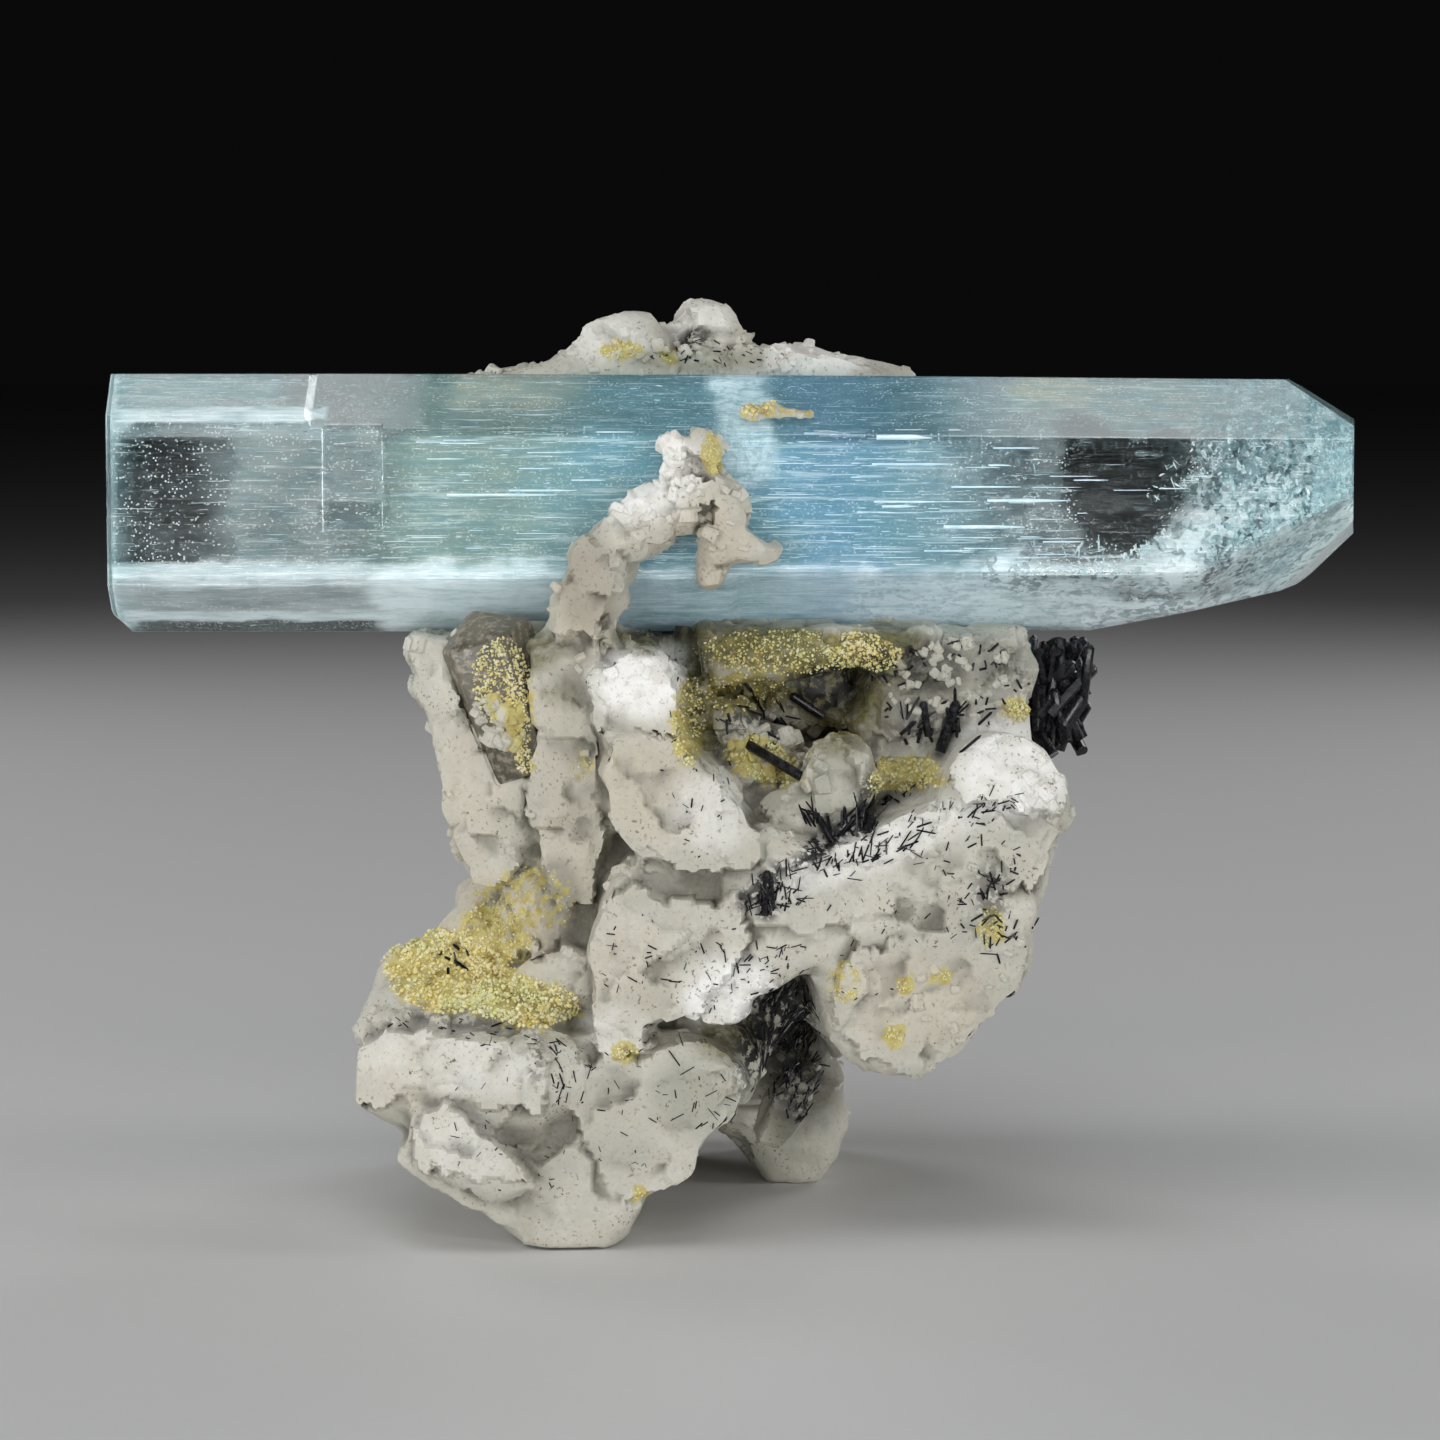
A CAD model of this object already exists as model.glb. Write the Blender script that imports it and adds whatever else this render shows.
"""Dresses an aquamarine specimen: a clear blue prism on white albite, with smoky quartz, schorl and a yellow crust."""
import math
import random
from typing import NamedTuple

import bpy
import numpy as np
from bpy.props import FloatProperty, FloatVectorProperty, IntProperty, PointerProperty
from mathutils import Matrix, Vector, noise
from mathutils.bvhtree import BVHTree
from mathutils.kdtree import KDTree


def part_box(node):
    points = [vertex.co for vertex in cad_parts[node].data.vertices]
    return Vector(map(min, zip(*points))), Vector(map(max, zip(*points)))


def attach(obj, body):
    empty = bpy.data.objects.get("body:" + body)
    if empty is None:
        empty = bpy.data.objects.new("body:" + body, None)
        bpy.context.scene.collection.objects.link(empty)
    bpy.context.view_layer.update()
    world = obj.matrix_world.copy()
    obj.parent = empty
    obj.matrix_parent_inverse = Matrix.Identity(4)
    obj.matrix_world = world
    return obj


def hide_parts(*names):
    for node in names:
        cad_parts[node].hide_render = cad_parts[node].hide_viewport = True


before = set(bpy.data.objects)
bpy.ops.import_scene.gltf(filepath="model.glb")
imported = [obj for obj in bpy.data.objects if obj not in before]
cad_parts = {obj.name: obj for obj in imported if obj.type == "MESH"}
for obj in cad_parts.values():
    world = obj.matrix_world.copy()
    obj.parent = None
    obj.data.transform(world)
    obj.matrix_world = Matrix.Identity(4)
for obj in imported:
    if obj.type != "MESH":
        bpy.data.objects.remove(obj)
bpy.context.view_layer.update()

bl_info = {
    "name": "Aquamarine Specimen",
    "version": (1, 0, 0),
    "blender": (4, 5, 0),
    "location": "View3D > Sidebar > Specimen",
    "description": "Builds the visible pieces of an aquamarine specimen around its solids",
    "category": "Object",
}

MM = 0.001
BODY = "root"
NOISE_SEED = 4
noise.seed_set(NOISE_SEED)  # noise vectors are offset by the seed, which is the time of day unless it is set

# Which way a zone is looked at: the direction of sight, then the directions that count as across and up.
SIGHTS = {
    "front": (Vector((0, 1, 0)), Vector((1, 0, 0)), Vector((0, 0, 1))),
    "back": (Vector((0, -1, 0)), Vector((-1, 0, 0)), Vector((0, 0, 1))),
    "left": (Vector((1, 0, 0)), Vector((0, -1, 0)), Vector((0, 0, 1))),
    "right": (Vector((-1, 0, 0)), Vector((0, 1, 0)), Vector((0, 0, 1))),
    "top": (Vector((0, 0, -1)), Vector((1, 0, 0)), Vector((0, 1, 0))),
}
HALF_LENGTH = 0.0565  # of the aquamarine, for the colours that run along it
CLEARANCE = 0.0001  # between the aquamarine and the small pieces around it
SINK = 0.00005  # how far inside the cloudy zone its fractures end
FAR = 0.2  # how far in front of the specimen a ray starts


class Zone(NamedTuple):
    """An oval on the specimen, in millimetres, seen from one side."""
    sight: str
    across: float
    up: float
    half_across: float
    half_up: float
    turn: float = 0.0


class Crust(NamedTuple):
    """How many grains a zone carries, how big they are in millimetres, and how strongly it is stained."""
    zone: Zone
    count: int
    small: float
    large: float
    stain: float


class Needles(NamedTuple):
    """How many needles a zone carries, their lengths and widths in millimetres, and how they lie, in degrees."""
    zone: Zone
    count: int
    short: float
    long: float
    width: float
    heading: float = 45.0
    spread: float = 90.0
    lift: float = 6.0


class Crystals(NamedTuple):
    """How many small albite crystals stand out of a zone of the matrix, and their sizes in millimetres."""
    zone: Zone
    count: int
    small: float
    large: float


class Patch(NamedTuple):
    """How strongly a zone is marked."""
    zone: Zone
    amount: float


def per_side(kind, **sides):
    """A table from rows of plain numbers, listed per side: a zone's five numbers and then the rest of its row."""
    return tuple(kind(Zone(side, *row[:5]), *row[5:]) for side, rows in sides.items() for row in rows)


CRUSTS = per_side(Crust, front=(
    (-26.0, 23.4, 5.6, 3.2, -6, 620, 0.30, 0.62, 1.0),
    (-19.2, 21.4, 5.6, 2.2, -6, 420, 0.28, 0.58, 1.0),
    (-21.6, 26.2, 3.6, 3.0, 0, 150, 0.22, 0.42, 0.8),
    (-19.0, 29.4, 5.0, 3.6, 20, 90, 0.16, 0.30, 0.6),
    (-20.6, 49.4, 2.6, 3.8, 0, 330, 0.20, 0.42, 0.7),
    (-19.1, 46.6, 1.0, 5.4, 4, 170, 0.22, 0.46, 0.9),
    (-18.6, 42.4, 0.8, 1.4, 0, 26, 0.24, 0.42, 0.8),
    (-13.6, 42.0, 1.0, 1.1, 0, 8, 0.18, 0.30, 0.6),
    (4.0, 51.6, 8.0, 2.0, 0, 420, 0.16, 0.36, 0.75),
    (11.0, 51.6, 3.6, 1.7, -8, 260, 0.20, 0.44, 0.8),
    (2.2, 42.2, 3.6, 1.7, -22, 210, 0.26, 0.52, 0.9),
    (-4.2, 46.0, 1.4, 3.4, 0, 110, 0.22, 0.44, 0.9),
    (0.6, 48.0, 4.2, 1.6, 0, 90, 0.18, 0.36, 0.8),
    (14.8, 40.6, 3.6, 1.5, 4, 170, 0.24, 0.48, 0.9),
    (25.0, 46.2, 1.3, 0.9, -20, 46, 0.24, 0.46, 0.9),
    (9.3, 23.3, 1.5, 1.9, 0, 34, 0.16, 0.30, 0.55),
    (14.6, 23.0, 0.7, 0.6, 0, 16, 0.20, 0.36, 0.9),
    (17.7, 23.8, 0.8, 0.6, 0, 16, 0.20, 0.36, 0.9),
    (13.8, 18.6, 0.8, 0.9, 0, 20, 0.20, 0.38, 0.9),
    (22.1, 28.0, 1.2, 1.6, 0, 44, 0.20, 0.40, 0.8),
    (-9.8, 17.6, 1.3, 0.7, 0, 34, 0.22, 0.40, 0.9),
    (-8.5, 4.8, 0.6, 0.6, 0, 6, 0.18, 0.28, 0.8),
    (-10.7, 78.0, 2.0, 0.7, 0, 40, 0.18, 0.36, 0.8),
    (-6.0, 77.5, 0.8, 0.5, 0, 18, 0.18, 0.34, 0.8),
    (-2.2, 69.2, 0.7, 1.8, 8, 40, 0.18, 0.34, 1.0),
    (1.8, 73.2, 1.7, 0.8, 0, 46, 0.30, 0.55, 0.0),
), back=(
    (-8.0, 44.0, 5.0, 3.4, 20, 260, 0.24, 0.50, 0.8),
    (9.0, 66.0, 3.0, 2.2, 0, 120, 0.22, 0.44, 0.7),
), left=(
    (2.0, 38.0, 4.0, 3.0, 0, 170, 0.24, 0.50, 0.8),
), right=(
    (4.0, 30.0, 3.4, 2.2, 30, 130, 0.22, 0.44, 0.8),
), top=(
    (-2.0, 14.0, 4.2, 1.8, 15, 110, 0.20, 0.40, 0.7),
))

NEEDLES = per_side(Needles, front=(
    (9.6, 34.8, 10.0, 2.4, 24, 210, 0.5, 2.2, 0.16, 40, 60, 10),
    (4.4, 31.6, 4.6, 1.5, 22, 90, 0.5, 2.0, 0.18, 60, 70, 14),
    (2.6, 30.2, 0.7, 0.5, 0, 16, 1.8, 4.2, 0.26, 88, 40, 14),
    (10.2, 36.8, 2.2, 0.8, 20, 22, 1.6, 4.6, 0.26, 76, 50, 14),
    (6.6, 37.4, 1.2, 0.7, 0, 8, 2.0, 4.2, 0.30, 118, 26, 26),
    (22.0, 38.4, 3.4, 1.2, 20, 34, 0.5, 1.8, 0.16, 20, 50, 8),
    (18.4, 48.2, 7.6, 4.4, 0, 110, 0.3, 1.5, 0.24, 60, 90, 6),
    (17.6, 44.8, 4.6, 2.0, 10, 26, 1.4, 3.6, 0.34, 66, 60, 18),
    (1.6, 45.6, 4.0, 2.4, -30, 30, 0.6, 2.6, 0.28, -40, 50, 12),
    (22.9, 29.4, 3.4, 4.6, 0, 120, 0.5, 1.9, 0.18, 100, 80, 10),
    (19.0, 33.4, 5.6, 3.4, 10, 60, 0.3, 1.3, 0.14, 30, 90, 6),
    (-7.2, 14.2, 9.0, 4.4, -10, 80, 0.4, 1.9, 0.12, 150, 80, 4),
    (-17.0, 12.0, 12.0, 7.6, 0, 90, 0.3, 1.0, 0.11, 60, 90, 4),
    (-15.4, 15.8, 0.8, 2.8, 0, 16, 0.6, 1.8, 0.16, 96, 40, 8),
    (-23.2, 18.9, 8.0, 0.8, -6, 60, 0.4, 1.2, 0.16, 170, 60, 8),
    (-24.6, 23.6, 1.2, 1.4, 0, 8, 0.8, 2.0, 0.26, 130, 40, 12),
    (-4.6, 25.4, 7.6, 4.8, 0, 80, 0.3, 1.3, 0.13, 120, 80, 4),
    (3.0, 24.6, 3.4, 2.6, 20, 40, 0.4, 1.4, 0.15, 50, 60, 8),
    (4.6, 17.4, 3.0, 4.8, 0, 420, 0.8, 3.0, 0.16, 66, 24, 6),
    (5.4, 11.6, 2.6, 3.2, 0, 130, 0.6, 2.4, 0.16, 66, 40, 6),
    (-4.3, 77.9, 1.1, 1.2, 0, 44, 0.4, 1.5, 0.18, 60, 80, 10),
    (-4.0, 77.6, 7.0, 1.2, 0, 30, 0.3, 1.0, 0.14, 40, 90, 6),
    (-4.0, 42.0, 3.6, 8.0, 0, 30, 0.3, 1.1, 0.14, 80, 90, 5),
    (14.0, 27.0, 7.6, 6.0, 0, 50, 0.3, 0.9, 0.12, 60, 90, 4),
), back=(
    (-12.0, 34.0, 7.0, 5.0, 30, 150, 0.5, 2.2, 0.17, 50, 70, 10),
    (8.0, 56.0, 6.0, 6.0, 0, 110, 0.4, 2.0, 0.16, 110, 80, 8),
    (2.0, 16.0, 9.0, 6.0, 0, 70, 0.4, 1.8, 0.15, 80, 90, 8),
), left=(
    (0.0, 50.0, 7.0, 8.0, 0, 70, 0.4, 1.8, 0.15, 70, 80, 8),
    (2.0, 14.0, 8.0, 6.0, 0, 60, 0.4, 1.6, 0.15, 40, 80, 8),
), right=(
    (2.0, 40.0, 7.0, 6.0, 0, 90, 0.4, 2.0, 0.16, 110, 80, 8),
), top=(
    (4.0, 14.0, 8.0, 3.0, 0, 60, 0.4, 1.6, 0.15, 20, 90, 8),
))

ALBITE_CRYSTALS = per_side(Crystals, front=(
    (26.6, 41.0, 2.2, 4.0, 0, 16, 1.0, 2.4), (21.0, 22.0, 6.0, 5.0, 30, 26, 0.8, 2.0),
    (3.6, 43.0, 4.6, 3.4, -20, 46, 0.9, 2.4), (19.0, 49.0, 6.0, 3.6, 0, 40, 0.8, 2.0),
    (-3.0, 77.4, 13.0, 1.8, 0, 40, 0.8, 2.0), (-8.0, 66.0, 5.0, 4.0, 20, 34, 1.0, 2.4),
    (-3.0, 64.0, 4.0, 6.0, 0, 26, 0.7, 1.8), (-21.0, 45.6, 2.6, 1.8, -35, 60, 0.9, 2.2),
    (-10.0, 51.0, 4.0, 1.6, 0, 14, 1.2, 2.4),
), back=(
    (0.0, 40.0, 26.0, 38.0, 0, 420, 0.8, 2.8),
), left=(
    (2.0, 40.0, 24.0, 38.0, 0, 200, 0.8, 2.4),
), right=(
    (0.0, 40.0, 24.0, 38.0, 0, 200, 0.8, 2.4),
), top=(
    (0.0, 10.0, 26.0, 18.0, 0, 130, 0.8, 2.4),
))


class Slab(NamedTuple):
    """A cleavage slab that sticks out of the matrix, in millimetres: outline in X and Z, front and back in Y."""
    outline: tuple
    front: float
    back: float


SLABS = (
    Slab(((-28.2, 13.0), (-28.9, 9.9), (-29.7, 8.0), (-28.1, 6.8), (-26.6, 5.7), (-24.9, 5.0), (-23.8, 3.9),
          (-22.2, 3.4), (-20.8, 2.3), (-18.6, 1.7), (-16.8, 1.0), (-13.9, 0.8), (-11.9, 2.1), (-15.4, 4.6),
          (-17.6, 6.7), (-20.5, 9.2), (-24.3, 12.4)), -24.3, -9.0),
    Slab(((-28.2, 53.0), (-28.9, 51.3), (-28.2, 49.7), (-28.8, 48.4), (-27.3, 46.6), (-26.6, 44.1), (-25.5, 40.1),
          (-26.0, 37.7), (-25.0, 35.4), (-24.1, 33.2), (-23.1, 31.5), (-21.0, 31.1), (-19.1, 31.8), (-18.4, 32.9),
          (-19.0, 34.3), (-18.5, 40.0), (-19.0, 46.0), (-22.0, 52.0)), -16.4, -6.0),
    Slab(((-3.3, 21.5), (-2.9, 19.8), (-1.7, 19.6), (-0.3, 19.9), (1.0, 20.8), (1.2, 21.9), (1.8, 22.5), (2.6, 22.6),
          (4.7, 23.9), (6.1, 24.9), (7.3, 25.3), (5.5, 26.5), (2.0, 26.5), (-1.5, 25.0)), -23.4, -17.0),
    Slab(((6.0, 39.8), (6.2, 42.5), (7.1, 43.6), (9.0, 44.4), (10.4, 44.1), (11.5, 42.9), (11.7, 41.4), (11.3, 39.8),
          (10.1, 37.9), (8.7, 36.3), (6.8, 35.9), (5.5, 37.6)), -19.8, -14.0),
    Slab(((-2.6, 45.2), (-1.8, 47.0), (0.4, 47.4), (1.4, 45.8), (0.8, 44.0), (-1.4, 43.4)), -17.4, -13.0),
)


class Plate(NamedTuple):
    """A plate that stands proud of the front, in millimetres: outline in X and Z, how proud its foot and head are."""
    outline: tuple
    foot: float
    head: float


PLATES = (
    Plate(((-33.5, 18.4), (-32.1, 19.3), (-26.9, 18.6), (-22.4, 18.3), (-16.7, 17.4), (-16.0, 15.1), (-16.1, 12.5),
           (-20.6, 12.8), (-24.5, 13.2), (-28.5, 13.3), (-31.2, 12.4), (-34.0, 12.6)), 0.25, 0.75),
    Plate(((-28.4, 9.6), (-27.6, 12.0), (-26.6, 12.8), (-25.3, 13.4), (-24.1, 12.6), (-22.3, 10.6), (-20.5, 9.2),
           (-18.8, 7.9), (-17.6, 6.7), (-20.7, 7.1), (-22.6, 7.5), (-24.6, 7.2), (-26.8, 7.9)), 1.0, 0.7),
    Plate(((-15.4, 16.9), (-11.9, 16.5), (-8.4, 16.8), (-5.0, 18.1), (-3.2, 18.1), (-0.6, 17.0), (1.2, 15.4),
           (1.6, 12.8), (0.7, 10.9), (-2.4, 9.6), (-3.2, 6.8), (-4.3, 5.6), (-7.6, 4.9), (-10.2, 4.0), (-11.9, 6.3),
           (-14.1, 11.5)), 0.1, 0.45),
    Plate(((-13.4, 26.3), (-12.9, 29.0), (-11.8, 31.4), (-9.7, 32.5), (-6.7, 30.8), (-3.2, 30.3), (-0.2, 30.8),
           (1.1, 28.1), (0.7, 25.5), (-0.6, 24.1), (-3.2, 22.5), (-3.1, 20.5), (-5.0, 19.0), (-7.6, 18.0),
           (-10.2, 17.6), (-13.3, 18.2), (-13.9, 23.2)), 0.7, 0.1),
    Plate(((-13.3, 50.1), (-12.5, 51.1), (-10.2, 52.0), (-8.0, 52.6), (-6.8, 52.0), (-6.1, 50.5), (-5.0, 48.8),
           (-4.5, 47.5), (-4.8, 45.5), (-6.2, 45.2), (-8.3, 45.9), (-10.9, 45.3), (-12.3, 45.9), (-12.8, 47.9)),
           0.6, 0.3),
    Plate(((-11.6, 43.9), (-10.0, 45.1), (-6.2, 45.2), (-3.2, 43.2), (0.1, 39.9), (1.7, 37.2), (1.3, 35.1),
           (-0.2, 33.8), (-3.0, 33.2), (-6.7, 34.2), (-9.8, 34.8), (-11.6, 37.1), (-12.0, 39.9)), 0.8, 0.1),
    Plate(((19.2, 43.5), (21.2, 44.9), (24.3, 45.3), (27.3, 43.6), (28.4, 41.9), (29.0, 39.3), (28.2, 37.6),
           (25.5, 38.2), (22.9, 37.8), (19.8, 39.1), (18.4, 41.2)), 0.7, 0.2),
    Plate(((8.3, 23.9), (9.8, 25.7), (14.2, 27.0), (19.4, 27.8), (23.8, 27.3), (25.6, 25.4), (25.0, 21.6),
           (22.6, 19.6), (20.4, 17.4), (17.8, 15.6), (16.0, 14.8), (13.4, 15.8), (10.9, 16.8), (8.3, 20.9)), 0.7, 0.1),
    Plate(((4.6, 32.6), (8.1, 34.9), (12.5, 36.8), (17.7, 38.6), (22.9, 39.1), (28.3, 36.7), (29.2, 34.0),
           (27.1, 31.7), (22.9, 31.2), (17.6, 30.5), (12.4, 29.3), (8.0, 28.1), (4.6, 29.9)), 0.2, 0.6),
    Plate(((-26.4, 41.6), (-24.3, 45.9), (-21.6, 46.6), (-19.2, 44.6), (-18.3, 39.7), (-19.5, 35.3), (-19.3, 32.5),
           (-22.0, 30.6), (-23.8, 32.6), (-25.6, 36.9)), 0.7, 0.1),
    Plate(((-18.2, 44.7), (-17.2, 47.8), (-13.7, 47.8), (-12.1, 44.3), (-12.0, 39.0), (-11.6, 34.4), (-12.9, 29.4),
           (-15.6, 30.4), (-17.3, 34.3), (-18.2, 38.8)), 0.7, 0.1),
    Plate(((-15.6, 52.8), (-15.9, 56.3), (-15.1, 59.8), (-13.8, 60.9), (-11.2, 60.5), (-10.3, 58.5), (-11.0, 56.3),
           (-11.4, 52.8)), 0.0, 0.0),
    Plate(((-14.2, 61.1), (-12.9, 63.8), (-10.2, 65.8), (-7.6, 67.0), (-5.0, 67.7), (-3.2, 67.0), (-2.8, 65.1),
           (-4.1, 63.3), (-6.3, 62.6), (-8.5, 62.0), (-10.1, 60.7)), 0.1, 0.4),
    Plate(((-6.6, 69.0), (-6.0, 70.5), (-4.6, 71.0), (-2.9, 70.3), (-2.7, 68.6), (-4.1, 67.9), (-5.7, 68.0)),
           0.1, 0.2),
    Plate(((-3.2, 66.8), (-0.2, 65.9), (0.7, 63.3), (-0.8, 59.8), (-2.8, 60.2), (-3.2, 63.3)), 0.0, 0.1),
    Plate(((-13.5, 78.2), (-12.7, 80.7), (-12.0, 81.3), (-8.5, 81.4), (-7.2, 80.6), (-8.5, 78.0)), 0.1, 0.2),
    Plate(((-5.0, 78.6), (-4.1, 81.0), (-3.2, 81.9), (-1.9, 82.1), (-0.8, 81.3), (-0.4, 79.5), (-1.1, 78.6)),
           0.1, 0.2),
    Plate(((-16.6, 24.8), (-19.4, 28.8), (-22.0, 31.0), (-24.6, 28.6), (-27.4, 25.2), (-23.0, 24.6)), 0.1, 0.1),
    Plate(((13.6, 44.2), (13.0, 50.4), (17.4, 52.6), (23.4, 52.4), (26.4, 49.4), (25.6, 46.0), (20.0, 45.6),
           (16.6, 43.6)), 0.1, 0.1),
)

# Where the albite is broken into sharp facets.
RUGGED = per_side(Patch, front=(
    (-6.0, 67.0, 12.0, 8.0, 0, 0.9), (-13.0, 57.0, 4.0, 6.0, 0, 0.8), (-3.0, 79.0, 15.0, 4.0, 0, 0.8),
    (4.0, 43.0, 8.0, 6.0, 0, 0.8),
), back=(
    (0.0, 60.0, 24.0, 20.0, 0, 0.6),
), left=(
    (4.0, 60.0, 16.0, 20.0, 0, 0.5),
))

# Where the albite is milky white, tinted beige, glassy grey, dark olive, and black between the needles.
MILKY = per_side(Patch, front=(
    (-8.0, 49.6, 4.6, 2.8, 0, 1.0), (-0.8, 22.4, 4.0, 3.4, 20, 1.0), (-25.0, 16.4, 8.6, 2.2, -4, 0.4),
    (24.0, 41.4, 5.0, 4.2, 0, 0.9), (12.6, 35.6, 12.0, 2.0, 20, 0.7), (-24.0, 9.6, 4.2, 2.6, -35, 0.3),
    (-2.6, 38.6, 3.0, 3.4, 30, 0.5), (-8.0, 67.4, 5.0, 3.6, 20, 1.0), (-12.0, 80.0, 4.2, 3.0, 0, 0.5),
    (-3.6, 80.6, 3.0, 3.0, 0, 0.5), (-10.6, 19.4, 3.0, 2.0, 0, 0.5), (7.0, 77.4, 5.0, 1.4, 0, 0.8),
))
BEIGE = per_side(Patch, front=(
    (-7.6, 40.6, 5.4, 4.6, -20, 0.55), (15.6, 21.6, 6.6, 4.6, 0, 0.5), (-23.4, 39.0, 3.6, 7.0, 0, 0.35),
    (-13.6, 56.6, 2.6, 5.4, 0, 0.6), (-9.6, 24.0, 4.4, 5.0, 0, 0.35), (-2.8, 60.0, 4.0, 6.0, 0, 0.5),
    (-22.6, 26.6, 7.0, 5.6, 10, 0.7), (-29.0, 15.0, 3.6, 2.6, 0, 0.35), (-14.8, 35.0, 3.0, 8.0, 0, 0.4),
    (-15.4, 44.6, 2.6, 3.6, 0, 0.3),
))
GLASSY = per_side(Patch, front=(
    (-3.4, 13.4, 4.6, 4.0, 0, 0.9), (9.0, 40.4, 3.4, 4.6, 0, 0.9), (-15.0, 38.0, 3.4, 9.0, 0, 0.5),
    (-12.0, 11.0, 6.0, 5.6, 0, 0.45), (18.4, 47.4, 6.6, 5.0, 0, 0.6), (-14.6, 55.0, 2.4, 4.4, 0, 0.7),
    (0.0, 44.4, 4.4, 3.6, 0, 0.9), (6.0, 9.0, 4.0, 6.0, 0, 0.8),
))
OLIVE = per_side(Patch, front=(
    (4.2, 52.0, 8.6, 1.7, 0, 0.95), (-6.6, 53.2, 4.4, 0.9, 0, 1.0), (-3.2, 47.8, 1.3, 5.0, 6, 1.0),
    (2.2, 47.6, 5.2, 1.4, 0, 0.9), (9.0, 47.0, 4.0, 3.4, 0, 1.0), (-18.2, 52.0, 2.6, 1.6, 0, 0.8),
    (-15.2, 48.4, 1.6, 1.0, 0, 0.5), (-3.0, 79.0, 1.2, 0.9, 0, 0.5), (8.8, 44.6, 2.6, 1.4, 0, 0.8),
    (-17.6, 21.2, 4.4, 0.9, -5, 0.6), (0.0, 18.0, 3.4, 1.2, 0, 0.9), (-3.6, 77.2, 7.0, 0.8, 0, 0.5),
    (13.0, 52.8, 3.4, 1.0, 0, 0.9), (12.8, 49.8, 1.6, 1.4, 0, 0.9),
))
BLACK = per_side(Patch, front=(
    (3.4, 18.0, 3.6, 5.4, -14, 1.0), (5.6, 12.0, 2.2, 3.0, 0, 0.8), (2.4, 32.2, 3.0, 0.7, 40, 0.9),
    (8.0, 35.8, 4.4, 0.6, 32, 1.0), (2.6, 30.0, 0.7, 0.8, 0, 0.8), (11.6, 38.8, 0.8, 2.6, 0, 0.8),
    (22.2, 31.0, 1.4, 2.4, 0, 0.6), (-6.4, 53.4, 3.0, 0.7, 0, 0.9), (1.6, 45.0, 3.6, 0.8, -34, 0.8),
    (17.0, 45.0, 4.0, 1.4, 20, 0.6), (-4.0, 78.8, 1.4, 0.8, 20, 0.9), (-23.6, 19.6, 7.0, 0.5, -6, 0.5),
    (23.8, 48.6, 2.4, 3.4, 0, 0.35), (-17.4, 17.0, 0.5, 2.0, 0, 0.5), (8.0, 48.2, 3.2, 2.6, 0, 1.0),
    (16.6, 50.4, 3.0, 2.0, 0, 0.6), (12.4, 50.6, 1.6, 1.6, 0, 0.8),
))
# Where it is shaded as a deep hollow.
DEEP = per_side(Patch, front=(
    (8.0, 48.4, 4.4, 3.0, 0, 1.0), (17.0, 50.0, 3.6, 2.4, 0, 0.9), (14.0, 46.4, 3.6, 2.0, 0, 0.6),
    (6.4, 10.0, 3.6, 5.0, 0, 0.6), (-3.0, 52.8, 6.0, 1.2, 0, 0.9), (-15.6, 31.0, 1.6, 3.0, 0, 0.4),
    (-13.0, 58.0, 2.6, 4.6, 0, 0.30), (22.0, 50.6, 4.6, 2.0, 0, 0.40), (7.0, 9.4, 4.0, 3.4, 0, 0.45),
    (14.0, 51.6, 4.0, 1.4, 0, 0.7),
))

# What the albite's material reads for each point, and the zones that raise it.
TINTS = (
    ("stain", tuple((crust.zone, crust.stain) for crust in CRUSTS)),
    ("milky", MILKY), ("beige", BEIGE), ("glassy", GLASSY), ("olive", OLIVE),
)

# Hollow growth tubes inside the aquamarine: middle in X and Z, length and thickness, in millimetres.
GROWTH_TUBES = (
    (14.6, 70.5, 4.8, 0.34), (15.4, 68.2, 7.2, 0.20), (23.0, 68.1, 2.0, 0.14), (21.8, 66.2, 6.1, 0.16),
    (15.0, 64.9, 6.0, 0.18), (14.2, 64.5, 3.0, 0.22), (25.5, 65.0, 7.2, 0.24), (21.6, 62.7, 7.0, 0.30),
    (-20.6, 65.5, 9.6, 0.24), (-17.0, 65.9, 6.0, 0.16), (-24.0, 70.0, 4.0, 0.12), (-13.0, 66.8, 3.0, 0.12),
    (-17.6, 67.8, 3.0, 0.10), (24.4, 69.6, 4.0, 0.14), (31.0, 66.8, 3.0, 0.12), (12.0, 64.0, 3.0, 0.12),
    (-10.6, 71.0, 3.4, 0.10), (-27.0, 61.8, 3.0, 0.10), (18.6, 60.6, 4.4, 0.14), (28.6, 61.4, 3.6, 0.12),
)


class Shards(NamedTuple):
    """Fractures under a zone of the aquamarine: number, sizes and depth in millimetres, how flat and how long."""
    zone: Zone
    count: int
    small: float
    large: float
    depth: float
    flat: float
    stretch: float


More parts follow.
